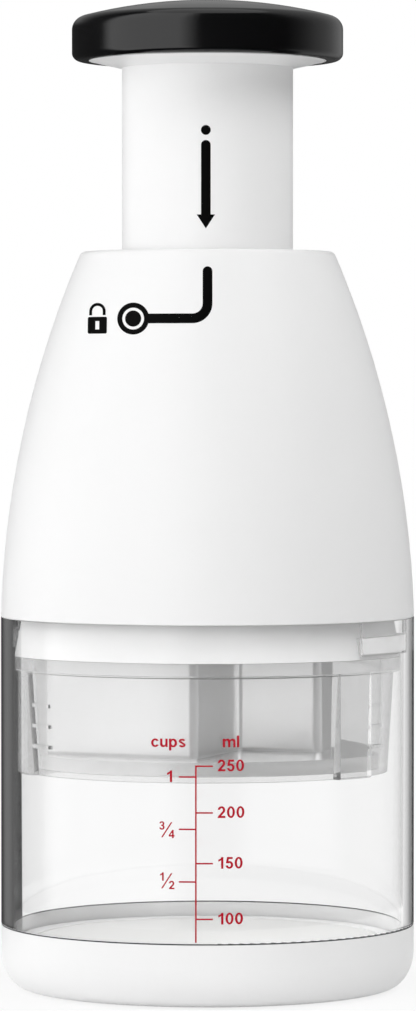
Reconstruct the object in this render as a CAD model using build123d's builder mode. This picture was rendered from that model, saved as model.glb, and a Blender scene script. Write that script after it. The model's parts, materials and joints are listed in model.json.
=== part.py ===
"""Palm-press vegetable chopper, modelled piece by piece in millimetres.

The origin is under the middle of the foot, +Z is up and the printed front faces -Y.
"""
import os
from math import asin, cos, degrees, pi, sin, sqrt, tan

from build123d import *

os.makedirs("parts", exist_ok=True)

# Overall sizes
body_radius = 45.0
base_height = 14.0
cup_height = 66.8
bell_height = 79.4
bell_top_radius = 27.5
tube_radius = 18.6
cap_radius = 29.5

# Fits and edges shared by many pieces
seat_gap = 0.1
slide_gap = 0.25
running_gap = 0.3
shaft_gap = 0.05
end_gap = 0.4
overrun = 1.0
seam_edge = 0.35

# Base cap, board, seal and foot
foot_height = 0.25
floor_drop = 3.0
base_round_width = 5.5
base_land = 5.5
base_lip_wall = 1.25
base_floor_wall = 2.5
board_ledge = 4.2
board_thickness = 2.5
board_edge = 0.4
recess_rim = 2.0
base_rib_count = 6
base_rib_width = 1.6
base_rib_setback = 1.2
base_hub_radius = 6.0
foot_inset = 5.0
foot_width = 4.5
foot_thickness = 1.8
foot_edge = 0.5
seal_thickness = 1.0

# Measuring cup
cup_wall = 2.5
spigot_gap = 0.2
spigot_depth = 5.0
rim_edge = 0.4

# Bell housing: the outline passes through one waist point between bottom and top
bell_wall = 2.2
bell_top_wall = 2.6
bell_edge_radius = 1.4
waist_height_share = 0.485
waist_inset_share = 0.257
neck_wall = 2.4
neck_length = 12.4
neck_edge = 0.5
boss_count = 3
boss_angle = 30.0
boss_radius = 3.4
boss_inset = 7.8
boss_height = 44.0
boss_rib_width = 1.8

# Collar ring and its two keys
collar_drop = 8.0
collar_foot_gap = 0.5
collar_flare = 1.5
collar_socket_wall = 2.1
collar_socket_depth = 5.2
collar_spigot_height = 6.0
collar_spigot_wall = 2.4
collar_web = 1.4
key_count = 2
key_angle = -23.5
key_span = 36.0
key_gap_span = 0.6
key_height = 3.4
key_lift = 1.2
key_reach = 0.7

# Blade guard
guard_inset = 4.6
guard_wall = 1.8
guard_draft = 1.4
guard_lip = 1.2
guard_lip_reach = 1.7
guard_flange_height = 2.65
guard_edge = 0.5
guard_spigot_wall = 1.6
guard_spigot_gap = 0.7
guard_rib_count = 3
guard_rib_angle = 78.5
guard_rib_span = 13.5
guard_rib_reach = 2.2
guard_ledge_count = 3
guard_ledge_span = 10.0
guard_ledge_pitch = 4.4
guard_ledge_drop = 7.0
guard_ledge_height = 0.8
guard_ledge_reach = 1.4

# Wiper disc
wiper_thickness = 3.0
wiper_dip = 1.0

# Blade strips: plan points are shares of the blade reach
blade_rim_gap = 2.6
blade_thickness = 0.7
blade_bend_radius = 1.3
blade_bevel_height = 1.6
blade_bevel_share = 0.4
slot_gap = 0.4
front_strip_shares = [(-0.983, -0.172), (-0.075, -0.67), (0.19, 0.33), (0.704, 0.057), (0.819, 0.489)]
back_strip_shares = [(-0.943, 0.267), (-0.247, -0.112), (0.017, 0.891), (0.431, 0.661)]

# Blade carrier and ratchet
carrier_rim_gap = 1.8
carrier_thickness = 4.0
carrier_roof = 1.0
carrier_edge = 0.6
tooth_count = 12
tooth_height = 1.2
tooth_root = 0.3
tooth_width_share = 0.97
ratchet_inner_radius = 5.2
ratchet_outer_radius = 9.5
ratchet_thickness = 1.6
carrier_lift = 0.5

# Helix spindle and nut
blade_turn_angle = 45.0
helix_width = 7.4
helix_corner = 0.8
shank_radius = 3.5
hex_radius = 3.6
shoulder_radius = 5.5
shoulder_height = 6.0
journal_radius = 4.0
nut_height = 5.0
nut_radius = 7.6
nut_drop = 0.5
helix_lead_in = 2.5

# Bridge plate with guide post and lock hooks
bridge_thickness = 2.8
bridge_window_span = 66.0
bridge_window_inset = 3.0
bridge_hub_rim = 3.1
post_wall = 1.9
post_bore_radius = 6.4
post_fillet = 1.5
hook_wall = 2.0
hook_lip = 2.5
hook_span = 22.0
hook_stop_span = 4.0
lock_turn_angle = 30.0

# Plunger tube
tube_wall = 1.8
flange_cone_height = 1.6
flange_rim = 2.5
plunger_top_wall = 3.4
push_ring_setback = 1.0
push_ring_wall = 3.0
push_ring_height = 6.2
driver_hole_radius = 7.5
lug_count = 2
lug_height = 3.0
lug_reach = 2.0
lug_span = 20.0

# Palm cap
cap_height = 13.0
cap_lower_radius = 1.7
cap_upper_radius = 3.0
cap_dome_radius = 110.0
cap_wall = 2.6
cap_skirt = 3.6
cap_step = 1.0
cap_rib_count = 4
cap_rib_width = 1.8
cap_rib_inner_radius = 9.0

# Thrust bush and return spring
bush_radius = 7.5
bush_gap = 1.2
bush_flange_height = 3.0
bush_collar_height = 2.5
bush_skirt = 5.0
spring_inset = 1.6
spring_wire_radius = 0.7
spring_turns = 7
spring_coil_gap = 0.6

# Screws and washer
screw_radius = 1.4
screw_length = 9.0
screw_head_radius = 2.7
screw_head_height = 1.5
screw_recess_radius = 1.0
screw_recess_depth = 0.8
washer_radius = 6.5
washer_thickness = 1.0

# Stroke: three strokes and the stacked pieces fill the height from the floor to the bell's neck
stroke_count = 3
floor_height = base_height - floor_drop
shoulder_z = base_height + cup_height
bell_top_z = shoulder_z + bell_height
neck_z = bell_top_z - bell_top_wall - neck_length
wiper_stack = running_gap + wiper_dip + carrier_lift
carrier_stack = carrier_thickness + tooth_height + seat_gap + ratchet_thickness + carrier_lift
lock_stack = bridge_thickness + end_gap + lug_height + running_gap
stroke = (neck_z - floor_height - wiper_stack - carrier_stack - lock_stack) / stroke_count

# Heights that follow from the stack, from the foot up
blade_edge_z = floor_height + running_gap + stroke
wiper_top_z = blade_edge_z + wiper_dip
wiper_z = wiper_top_z - wiper_thickness
guard_z = wiper_z - seat_gap - guard_lip
collar_z = shoulder_z - collar_drop
guard_top_z = collar_z - seat_gap
guard_flange_z = guard_top_z - guard_flange_height
carrier_z = wiper_top_z + stroke + carrier_lift
carrier_top_z = carrier_z + carrier_thickness
ratchet_z = carrier_top_z + tooth_height + seat_gap
ratchet_top_z = ratchet_z + ratchet_thickness
bridge_z = ratchet_top_z + carrier_lift
bridge_top_z = bridge_z + bridge_thickness
tube_z = bridge_top_z + stroke + end_gap
flange_z = bell_top_z + stroke + end_gap
cap_z = flange_z + flange_cone_height
cap_top_z = cap_z + cap_height
plunger_top_z = cap_z + flange_rim
plunger_roof_z = plunger_top_z - plunger_top_wall
push_z = plunger_roof_z - push_ring_height
bush_top_z = push_z - seat_gap
spring_top_z = bush_top_z - bush_flange_height
journal_z = spring_top_z - bush_skirt
helix_top_z = journal_z - shoulder_height
nut_z = helix_top_z - helix_lead_in - stroke - nut_height
helix_z = nut_z - helix_lead_in
post_top_z = nut_z + nut_height + nut_drop
washer_z = bush_top_z + bush_collar_height + shaft_gap
spindle_screw_z = washer_z + washer_thickness


def bell_inside(height):
    """Radius just inside the bell's inner wall, on the chord from its foot to its waist."""
    waist_inset = (body_radius - bell_top_radius) * waist_inset_share
    rise_share = (height - shoulder_z) / (bell_height * waist_height_share)
    return body_radius - bell_wall - waist_inset * rise_share


# Radii that follow from the fits
lip_radius = body_radius - base_lip_wall
spigot_radius = lip_radius - spigot_gap
cup_bore = body_radius - cup_wall
plateau_radius = cup_bore - running_gap
groove_z = base_height - spigot_depth - seal_thickness
board_radius = plateau_radius - board_ledge
board_z = floor_height - board_thickness
recess_z = board_z - base_floor_wall
base_round_height = base_height - base_land - foot_height
foot_outer_radius = body_radius - base_round_width - foot_inset
foot_inner_radius = foot_outer_radius - foot_width
recess_radius = foot_inner_radius - recess_rim
bell_bore = body_radius - bell_wall
waist_z = shoulder_z + bell_height * waist_height_share
waist_radius = body_radius - (body_radius - bell_top_radius) * waist_inset_share
boss_circle = waist_radius - boss_inset
neck_bore = tube_radius + slide_gap
key_radius = cup_bore + key_reach
key_z = collar_z + key_lift
collar_foot_radius = cup_bore - collar_foot_gap
collar_top_radius = collar_foot_radius - collar_flare
socket_radius = collar_foot_radius - collar_socket_wall
guard_bore = collar_foot_radius - guard_inset
collar_bore = guard_bore + slide_gap
guard_spigot_radius = socket_radius - running_gap
guard_rib_radius = guard_bore + guard_wall + guard_rib_reach
guard_ledge_radius = guard_bore + guard_wall + guard_ledge_reach
blade_reach = guard_bore - blade_rim_gap
wiper_radius = guard_bore - running_gap
lip_bore = guard_bore - guard_lip_reach
carrier_radius = guard_bore - carrier_rim_gap
carrier_slot_depth = carrier_thickness - carrier_roof
carrier_socket_depth = carrier_roof - seat_gap
post_radius = nut_radius + post_wall
tube_bore = tube_radius - tube_wall
bush_flange_radius = tube_bore - bush_gap
spring_radius = bush_flange_radius - spring_inset
push_ring_radius = bush_flange_radius - push_ring_setback
push_ring_bore = push_ring_radius - push_ring_wall
flange_radius = cap_radius - cap_skirt - seat_gap
lug_radius = tube_radius + lug_reach
hook_bore = tube_radius + running_gap
hook_inner_radius = lug_radius + running_gap
hook_z = bridge_top_z + end_gap + lug_height + end_gap
hook_radius = hook_inner_radius + hook_wall
bridge_hub_radius = hook_radius + bridge_hub_rim
bridge_radius = bell_inside(bridge_top_z)


def ring_sector(inner, outer, middle, span):
    """Plan of an arc-shaped block between two radii, about a middle angle."""
    with BuildSketch() as sector:
        with BuildLine():
            outer_arc = CenterArc((0, 0), outer, middle - span / 2, span)
            inner_arc = CenterArc((0, 0), inner, middle - span / 2, span)
            Line(outer_arc @ 0, inner_arc @ 0)
            Line(outer_arc @ 1, inner_arc @ 1)
        make_face()
    return sector.sketch


def zigzag(shares, lengthening):
    """Plan line of one blade strip, lengthened at both ends."""
    points = [Vector(x, y) * blade_reach for x, y in shares]
    points[0] += (points[0] - points[1]).normalized() * lengthening
    points[-1] += (points[-1] - points[-2]).normalized() * lengthening
    with BuildLine() as strip:
        FilletPolyline(*points, radius=blade_bend_radius)
    return strip.line


def twist_at(height):
    """Angle of the spindle's square section at a height."""
    return -blade_turn_angle * (height - helix_z) / stroke


def saw_tooth(base_height_z, rise):
    """One ratchet tooth on +X, steep on one side, rising from a flat base."""
    root = tooth_root if rise > 0 else -tooth_root
    with BuildPart() as tooth:
        for radius in (ratchet_inner_radius, ratchet_outer_radius):
            half_width = radius * tan(pi / tooth_count) * tooth_width_share
            with BuildSketch(Plane((radius, 0, base_height_z), x_dir=(0, 1, 0), z_dir=(1, 0, 0))):
                with BuildLine():
                    Polyline(
                        (-half_width, -root),
                        (half_width, -root),
                        (half_width, 0 if rise > 0 else rise),
                        (-half_width, rise if rise > 0 else 0),
                        close=True,
                    )
                make_face()
        loft()
    return tooth.part


def pan_screw(seat_z, head_up):
    """Screw on the axis whose head sits on the seat, with its head up or down."""
    side = 1 if head_up else -1
    with BuildPart() as screw:
        with BuildSketch(Plane.XZ):
            with BuildLine():
                crown = SagittaArc(
                    (0, seat_z + side * screw_head_height),
                    (screw_head_radius, seat_z + side * screw_head_height / 2),
                    side * screw_head_height / 8,
                )
                Polyline(
                    crown @ 1,
                    (screw_head_radius, seat_z),
                    (screw_radius, seat_z),
                    (screw_radius, seat_z - side * screw_length),
                    (0, seat_z - side * screw_length),
                    crown @ 0,
                )
            make_face()
        revolve(axis=Axis.Z)
        with BuildSketch(Plane.XY.offset(seat_z + side * screw_head_height)):
            RegularPolygon(screw_recess_radius, 6)
        extrude(amount=-side * screw_recess_depth, both=True, mode=Mode.SUBTRACT)
    return screw.part


# Base cap: turned outline with a rounded lower edge, a groove for the cup and a ribbed underside
with BuildPart() as base_cap:
    with BuildSketch(Plane.XZ):
        with BuildLine():
            rounding = EllipticalCenterArc(
                (body_radius - base_round_width, foot_height + base_round_height),
                base_round_width,
                base_round_height,
                start_angle=-90,
                arc_size=90,
            )
            Polyline(
                rounding @ 1,
                (body_radius, base_height),
                (lip_radius, base_height),
                (lip_radius, groove_z),
                (plateau_radius, groove_z),
                (plateau_radius, floor_height),
                (board_radius, floor_height),
                (board_radius, board_z),
                (0, board_z),
                (0, recess_z),
                (recess_radius, recess_z),
                (recess_radius, foot_height),
                (foot_inner_radius, foot_height),
                (foot_inner_radius, foot_thickness),
                (foot_outer_radius, foot_thickness),
                (foot_outer_radius, foot_height),
                rounding @ 0,
            )
        make_face()
    revolve(axis=Axis.Z)
    base_circles = base_cap.edges().filter_by(GeomType.CIRCLE).group_by(Axis.Z)[-1]
    fillet(base_circles.sort_by(SortBy.RADIUS)[-1], seam_edge)
    with BuildSketch(Plane.XY.offset(foot_height + base_rib_setback)):
        Circle(base_hub_radius)
        with PolarLocations(0, base_rib_count):
            Rectangle(recess_radius, base_rib_width, align=(Align.MIN, Align.CENTER))
    extrude(amount=recess_z - foot_height - base_rib_setback)
base_cap.part.label = "base_cap"
export_step(base_cap.part, "parts/base_cap.step")

# Cutting board: loose-fitting disc, flush with the base cap's floor
with BuildPart() as cutting_board:
    with BuildSketch(Plane.XY.offset(board_z)):
        Circle(board_radius - slide_gap)
    extrude(amount=board_thickness)
    fillet(cutting_board.edges().group_by(Axis.Z)[-1], board_edge)
cutting_board.part.label = "cutting_board"
export_step(cutting_board.part, "parts/cutting_board.step")

# Base seal: flat ring that the cup's spigot stands on
with BuildPart() as base_seal:
    with BuildSketch(Plane.XY.offset(groove_z)):
        Circle(lip_radius - seat_gap)
        Circle(plateau_radius + seat_gap, mode=Mode.SUBTRACT)
    extrude(amount=seal_thickness)
base_seal.part.label = "base_seal"
export_step(base_seal.part, "parts/base_seal.step")

# Foot ring: non-slip ring with rounded lower edges
with BuildPart() as foot_ring:
    with BuildSketch():
        Circle(foot_outer_radius - seat_gap)
        Circle(foot_inner_radius + seat_gap, mode=Mode.SUBTRACT)
    extrude(amount=foot_thickness)
    fillet(foot_ring.edges().group_by(Axis.Z)[0], foot_edge)
foot_ring.part.label = "foot_ring"
export_step(foot_ring.part, "parts/foot_ring.step")

# Measuring cup: open wall with a spigot below and two channels for the collar's keys
with BuildPart() as measuring_cup:
    with BuildSketch(Plane.XZ):
        with BuildLine():
            Polyline(
                (cup_bore, base_height - spigot_depth),
                (spigot_radius, base_height - spigot_depth),
                (spigot_radius, base_height),
                (body_radius, base_height),
                (body_radius, shoulder_z),
                (cup_bore, shoulder_z),
                close=True,
            )
        make_face()
    revolve(axis=Axis.Z)
    outer_circles = measuring_cup.edges().filter_by(GeomType.CIRCLE).sort_by(SortBy.RADIUS)[-2:]
    fillet(outer_circles.sort_by(Axis.Z)[0], seam_edge)
    fillet(measuring_cup.edges().group_by(Axis.Z)[0], rim_edge)
    with BuildSketch(Plane.XY.offset(key_z - end_gap)):
        for turn in range(key_count):
            angle = key_angle + turn * 360 / key_count
            channel_span = key_span + 2 * key_gap_span
            add(ring_sector(cup_bore - overrun, key_radius + running_gap, angle, channel_span))
    extrude(amount=shoulder_z - key_z + end_gap, mode=Mode.SUBTRACT)
measuring_cup.part.label = "measuring_cup"
export_step(measuring_cup.part, "parts/measuring_cup.step")

# Bell housing: thin ogive shell with a neck sleeve and three ribbed screw bosses inside
with BuildSketch(Plane.XZ) as bell_outline:
    with BuildLine():
        bell_curve = ThreePointArc(
            (body_radius, shoulder_z), (waist_radius, waist_z), (bell_top_radius, bell_top_z)
        )
        Polyline(bell_curve @ 1, (0, bell_top_z), (0, shoulder_z), bell_curve @ 0)
    make_face()
    fillet(bell_outline.vertices().group_by(Axis.Y)[-1].sort_by(Axis.X)[-1], bell_edge_radius)
    fillet(bell_outline.vertices().group_by(Axis.Y)[0].sort_by(Axis.X)[-1], seam_edge)

with BuildPart() as bell_housing:
    revolve(bell_outline.sketch.faces(), axis=Axis.Z)
    with BuildSketch(Plane.XZ):
        with BuildLine():
            inner_curve = ThreePointArc(
                (bell_bore, shoulder_z),
                (waist_radius - bell_wall, waist_z),
                (bell_top_radius - bell_wall, bell_top_z - bell_top_wall),
            )
            Polyline(
                inner_curve @ 1,
                (0, bell_top_z - bell_top_wall),
                (0, shoulder_z),
                inner_curve @ 0,
            )
        make_face()
    revolve(axis=Axis.Z, mode=Mode.SUBTRACT)
    with BuildSketch(Plane.XY.offset(bridge_top_z)):
        with PolarLocations(boss_circle, boss_count, boss_angle):
            Circle(boss_radius)
            Rectangle(boss_inset, boss_rib_width, align=(Align.MIN, Align.CENTER))
    extrude(amount=boss_height)
    with BuildSketch(Plane.XY.offset(neck_z)):
        Circle(neck_bore + neck_wall)
    extrude(amount=bell_top_z - bell_top_wall - neck_z)
    revolve(bell_outline.sketch.faces(), axis=Axis.Z, mode=Mode.INTERSECT)
    with BuildSketch(Plane.XY.offset(neck_z)):
        Circle(neck_bore)
    extrude(amount=bell_top_z - neck_z, mode=Mode.SUBTRACT)
    with BuildSketch(Plane.XY.offset(bridge_top_z)):
        with PolarLocations(boss_circle, boss_count, boss_angle):
            Circle(screw_radius + shaft_gap)
    extrude(amount=screw_length, mode=Mode.SUBTRACT)
    top_circles = bell_housing.edges().filter_by(GeomType.CIRCLE).group_by(Axis.Z)[-1]
    fillet(top_circles.sort_by(SortBy.RADIUS)[0], neck_edge)
bell_housing.part.label = "bell_housing"
export_step(bell_housing.part, "parts/bell_housing.step")

# Collar ring: spigot in the bell, flared skirt in the cup, socket for the guard and two keys
with BuildPart() as collar_ring:
    with BuildSketch(Plane.XZ):
        with BuildLine():
            Polyline(
                (socket_radius, collar_z),
                (collar_foot_radius, collar_z),
                (collar_top_radius, shoulder_z),
                (collar_top_radius, shoulder_z + seat_gap),
                (bell_bore - seat_gap, shoulder_z + seat_gap),
                (bell_inside(shoulder_z + collar_spigot_height), shoulder_z + collar_spigot_height),
                (bell_bore - collar_spigot_wall, shoulder_z + collar_spigot_height),
                (bell_bore - collar_spigot_wall, shoulder_z + collar_web),
                (collar_bore, shoulder_z + collar_web),
                (collar_bore, collar_z + collar_socket_depth),
                (socket_radius, collar_z + collar_socket_depth),
                close=True,
            )
        make_face()
    revolve(axis=Axis.Z)
    with BuildSketch(Plane.XY.offset(key_z)):
        for turn in range(key_count):
            angle = key_angle + turn * 360 / key_count
            add(ring_sector(socket_radius + seat_gap, key_radius, angle, key_span))
    extrude(amount=key_height)
collar_ring.part.label = "collar_ring"
export_step(collar_ring.part, "parts/collar_ring.step")

# Blade guard: flanged cup with a spigot above, an inner lip below and three ribs outside
with BuildPart() as blade_guard:
    with BuildSketch(Plane.XZ):
        with BuildLine():
            spigot_top_z = collar_z + collar_socket_depth - guard_spigot_gap
            Polyline(
                (lip_bore, guard_z),
                (guard_bore + guard_wall, guard_z),
                (guard_bore + guard_wall + guard_draft, guard_flange_z),
                (collar_foot_radius, guard_flange_z),
                (collar_foot_radius, guard_top_z),
                (guard_spigot_radius, guard_top_z),
                (guard_spigot_radius, spigot_top_z),
                (guard_spigot_radius - guard_spigot_wall, spigot_top_z),
                (guard_spigot_radius - guard_spigot_wall, guard_flange_z),
                (guard_bore, guard_z + guard_lip),
                (lip_bore, guard_z + guard_lip),
                close=True,
            )
        make_face()
    revolve(axis=Axis.Z)
    rib_inner = guard_bore + guard_wall / 2
    with BuildSketch(Plane.XY.offset(guard_z)):
        for turn in range(guard_rib_count):
            angle = guard_rib_angle + turn * 360 / guard_rib_count
            add(ring_sector(rib_inner, guard_rib_radius, angle, guard_rib_span))
    extrude(amount=guard_flange_z - guard_z)
    for step in range(guard_ledge_count):
        with BuildSketch(Plane.XY.offset(guard_flange_z - guard_ledge_drop - step * guard_ledge_pitch)):
            for turn in range(guard_rib_count):
                angle = guard_rib_angle + (guard_rib_span + guard_ledge_span) / 2
                angle += turn * 360 / guard_rib_count
                add(ring_sector(rib_inner, guard_ledge_radius, angle, guard_ledge_span))
        extrude(amount=-guard_ledge_height)
    lower_arcs = blade_guard.edges().filter_by(GeomType.CIRCLE).group_by(Axis.Z)[0]
    fillet(lower_arcs.sort_by(SortBy.RADIUS)[-guard_rib_count:], guard_edge)
blade_guard.part.label = "blade_guard"
export_step(blade_guard.part, "parts/blade_guard.step")

# Wiper disc: slotted disc on the guard's lip that the blades pass through
with BuildPart() as wiper_disc:
    with BuildSketch(Plane.XY.offset(wiper_z)):
        Circle(wiper_radius)
        for shares in (front_strip_shares, back_strip_shares):
            trace(zigzag(shares, slot_gap), blade_thickness + 2 * slot_gap, mode=Mode.SUBTRACT)
    extrude(amount=wiper_thickness)
wiper_disc.part.label = "wiper_disc"
export_step(wiper_disc.part, "parts/wiper_disc.step")


def blade_strip(shares):
    """Bent steel strip with a ground lower edge."""
    with BuildPart() as strip:
        with BuildSketch(Plane.XY.offset(blade_edge_z)):
            trace(zigzag(shares, 0), blade_thickness)
        extrude(amount=carrier_z + carrier_slot_depth - seat_gap - blade_edge_z)
        lower_face = strip.faces().sort_by(Axis.Z)[0]
        bevel_width = blade_thickness * blade_bevel_share
        chamfer(lower_face.edges(), bevel_width, blade_bevel_height, reference=lower_face)
    return strip.part


# Blade strips
blade_front = blade_strip(front_strip_shares)
blade_front.label = "blade_front"
export_step(blade_front, "parts/blade_front.step")
blade_back = blade_strip(back_strip_shares)
blade_back.label = "blade_back"
export_step(blade_back, "parts/blade_back.step")

# Blade carrier: slotted plate with ratchet teeth on top and a sunk screw seat below
with BuildPart() as blade_carrier:
    with BuildSketch(Plane.XY.offset(carrier_z)):
        Circle(carrier_radius)
    extrude(amount=carrier_thickness)
    fillet(blade_carrier.edges().group_by(Axis.Z)[-1], carrier_edge)
    with BuildSketch(Plane.XY.offset(carrier_z)):
        for shares in (front_strip_shares, back_strip_shares):
            trace(zigzag(shares, shaft_gap), blade_thickness + 2 * shaft_gap)
    extrude(amount=carrier_slot_depth, mode=Mode.SUBTRACT)
    with BuildSketch(Plane.XY.offset(carrier_z)):
        Circle(screw_radius + shaft_gap)
    extrude(amount=carrier_thickness, mode=Mode.SUBTRACT)
    with BuildSketch(Plane.XY.offset(carrier_z)):
        Circle(screw_head_radius + seat_gap)
    extrude(amount=screw_head_height + seat_gap, mode=Mode.SUBTRACT)
    with BuildSketch(Plane.XY.offset(carrier_top_z)):
        Circle(hex_radius + running_gap)
    extrude(amount=-carrier_socket_depth, mode=Mode.SUBTRACT)
    carrier_tooth = saw_tooth(carrier_top_z, tooth_height)
    with PolarLocations(0, tooth_count):
        add(carrier_tooth)
blade_carrier.part.label = "blade_carrier"
export_step(blade_carrier.part, "parts/blade_carrier.step")

# Ratchet ring: keyed on the spindle's hexagon, with teeth that face the carrier's
with BuildPart() as ratchet_ring:
    with BuildSketch(Plane.XY.offset(ratchet_z)):
        Circle(ratchet_outer_radius)
        RegularPolygon(hex_radius + shaft_gap, 6, mode=Mode.SUBTRACT)
    extrude(amount=ratchet_thickness)
    ring_tooth = saw_tooth(ratchet_z, -tooth_height)
    with PolarLocations(0, tooth_count):
        add(ring_tooth)
ratchet_ring.part.label = "ratchet_ring"
export_step(ratchet_ring.part, "parts/ratchet_ring.step")

# Carrier screw: holds the carrier up against the spindle's end
with BuildPart() as carrier_screw:
    add(pan_screw(carrier_z + screw_head_height + seat_gap, head_up=False))
carrier_screw.part.label = "carrier_screw"
export_step(carrier_screw.part, "parts/carrier_screw.step")

# Helix spindle: hexagon foot, shank, twisted square, shoulder and journal
with BuildSketch(Plane.XY.offset(helix_z)) as helix_section:
    RectangleRounded(helix_width, helix_width, helix_corner)
helix_length = helix_top_z - helix_z
spindle_foot_z = carrier_top_z - carrier_socket_depth + seat_gap
spindle_top_z = washer_z - shaft_gap
with BuildPart() as helix_spindle:
    with BuildSketch(Plane.XY.offset(spindle_foot_z)):
        RegularPolygon(hex_radius, 6)
    extrude(amount=ratchet_top_z - spindle_foot_z)
    with BuildSketch(Plane.XY.offset(ratchet_top_z)):
        Circle(shank_radius)
    extrude(amount=helix_z - ratchet_top_z)
    add(
        Solid.extrude_linear_with_rotation(
            helix_section.sketch.face(), (0, 0, helix_z), (0, 0, helix_length), twist_at(helix_top_z)
        )
    )
    with BuildSketch(Plane.XY.offset(helix_top_z)):
        Circle(shoulder_radius)
    extrude(amount=journal_z - helix_top_z)
    with BuildSketch(Plane.XY.offset(journal_z)):
        Circle(journal_radius)
    extrude(amount=spindle_top_z - journal_z)
    with BuildSketch(Plane.XY.offset(spindle_foot_z)):
        Circle(screw_radius + shaft_gap)
    extrude(amount=screw_length, mode=Mode.SUBTRACT)
    with BuildSketch(Plane.XY.offset(spindle_top_z)):
        Circle(screw_radius + shaft_gap)
    extrude(amount=-screw_length, mode=Mode.SUBTRACT)
helix_spindle.part.label = "helix_spindle"
export_step(helix_spindle.part, "parts/helix_spindle.step")

# Helix nut: hexagon with the twisted hole that turns the spindle
with BuildSketch(Plane.XY.offset(nut_z)) as nut_section:
    hole_width = helix_width + 2 * slide_gap
    RectangleRounded(hole_width, hole_width, helix_corner, rotation=twist_at(nut_z))
with BuildPart() as helix_nut:
    with BuildSketch(Plane.XY.offset(nut_z)):
        RegularPolygon(nut_radius, 6)
    extrude(amount=nut_height)
    add(
        Solid.extrude_linear_with_rotation(
            nut_section.sketch.face(),
            (0, 0, nut_z),
            (0, 0, nut_height),
            twist_at(nut_z + nut_height) - twist_at(nut_z),
        ),
        mode=Mode.SUBTRACT,
    )
helix_nut.part.label = "helix_nut"
export_step(helix_nut.part, "parts/helix_nut.step")

# Bridge plate: windowed disc with the guide post, the nut's pocket and the two lock hooks
with BuildPart() as bridge_plate:
    with BuildSketch(Plane.XY.offset(bridge_z)):
        Circle(bridge_radius)
        for turn in range(boss_count):
            middle = boss_angle + (turn + 0.5) * 360 / boss_count
            window_radius = bridge_radius - bridge_window_inset
            window = ring_sector(bridge_hub_radius, window_radius, middle, bridge_window_span)
            add(window, mode=Mode.SUBTRACT)
        with PolarLocations(boss_circle, boss_count, boss_angle):
            Circle(screw_radius + shaft_gap, mode=Mode.SUBTRACT)
    extrude(amount=bridge_thickness)
    with BuildSketch(Plane.XY.offset(bridge_top_z)):
        Circle(post_radius)
    extrude(amount=post_top_z - bridge_top_z)
    foot_edges = bridge_plate.edges().filter_by_position(Axis.Z, bridge_top_z, bridge_top_z)
    foot_circles = foot_edges.filter_by(GeomType.CIRCLE).sort_by(SortBy.RADIUS)
    fillet(foot_circles.filter_by(lambda edge: edge.radius == post_radius), post_fillet)
    with BuildSketch(Plane.XY.offset(bridge_z)):
        Circle(post_bore_radius)
    extrude(amount=post_top_z - bridge_z, mode=Mode.SUBTRACT)
    with BuildSketch(Plane.XY.offset(nut_z)):
        RegularPolygon(nut_radius + shaft_gap, 6)
    extrude(amount=post_top_z - nut_z, mode=Mode.SUBTRACT)
    for turn in range(lug_count):
        hook_angle = turn * 360 / lug_count - lock_turn_angle
        stop_angle = hook_angle - (hook_span + hook_stop_span) / 2
        with BuildSketch(Plane.XY.offset(bridge_top_z)):
            add(ring_sector(hook_inner_radius, hook_radius, hook_angle, hook_span))
            add(ring_sector(hook_bore, hook_radius, stop_angle, hook_stop_span))
        extrude(amount=hook_z - bridge_top_z)
        with BuildSketch(Plane.XY.offset(hook_z)):
            add(ring_sector(hook_bore, hook_radius, hook_angle, hook_span))
            add(ring_sector(hook_bore, hook_radius, stop_angle, hook_stop_span))
        extrude(amount=hook_lip)
bridge_plate.part.label = "bridge_plate"
export_step(bridge_plate.part, "parts/bridge_plate.step")

# Bridge screws: three, driven up into the bell's bosses
with BuildPart() as bridge_screws:
    bridge_screw = pan_screw(bridge_z, head_up=False)
    with PolarLocations(boss_circle, boss_count, boss_angle):
        add(bridge_screw)
bridge_screws.part.label = "bridge_screws"
export_step(bridge_screws.part, "parts/bridge_screws.step")

# Return spring: round wire wound between the bridge and the bush, with one close turn at each end
spring_z = bridge_top_z + spring_wire_radius + shaft_gap
spring_height = spring_top_z - spring_wire_radius - shaft_gap - spring_z
close_rise = spring_wire_radius + spring_coil_gap / 2
open_rise = (spring_height - 4 * close_rise) / (2 * spring_turns - 4)
half_turn_rises = 2 * [close_rise] + (2 * spring_turns - 4) * [open_rise] + 2 * [close_rise]
knot_heights = [spring_z + sum(half_turn_rises[:knot]) for knot in range(2 * spring_turns + 1)]


def spring_knot(knot):
    """Point and heading of the wire after a number of half turns."""
    below = half_turn_rises[max(knot - 1, 0)]
    above = half_turn_rises[min(knot, len(half_turn_rises) - 1)]
    side = cos(pi * knot)
    point = Vector(side * spring_radius, 0, knot_heights[knot])
    return point, Vector(0, side * 2 * pi * spring_radius, below + above).normalized()


with BuildPart() as return_spring:
    with BuildLine() as spring_path:
        for knot in range(2 * spring_turns):
            start, heading = spring_knot(knot)
            end, end_heading = spring_knot(knot + 1)
            chord = end - start
            lean = chord.dot(heading + end_heading)
            spread = 2 * (1 - heading.dot(end_heading))
            reach = (sqrt(lean**2 + spread * chord.dot(chord)) - lean) / spread
            first_corner = start + heading * reach
            last_corner = end - end_heading * reach
            middle = (first_corner + last_corner) / 2
            TangentArc(start, middle, tangent=heading)
            TangentArc(middle, end, tangent=last_corner - first_corner)
    with BuildSketch(spring_path.line ^ 0):
        Circle(spring_wire_radius)
    sweep(path=spring_path.line)
return_spring.part.label = "return_spring"
export_step(return_spring.part, "parts/return_spring.step")

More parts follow.
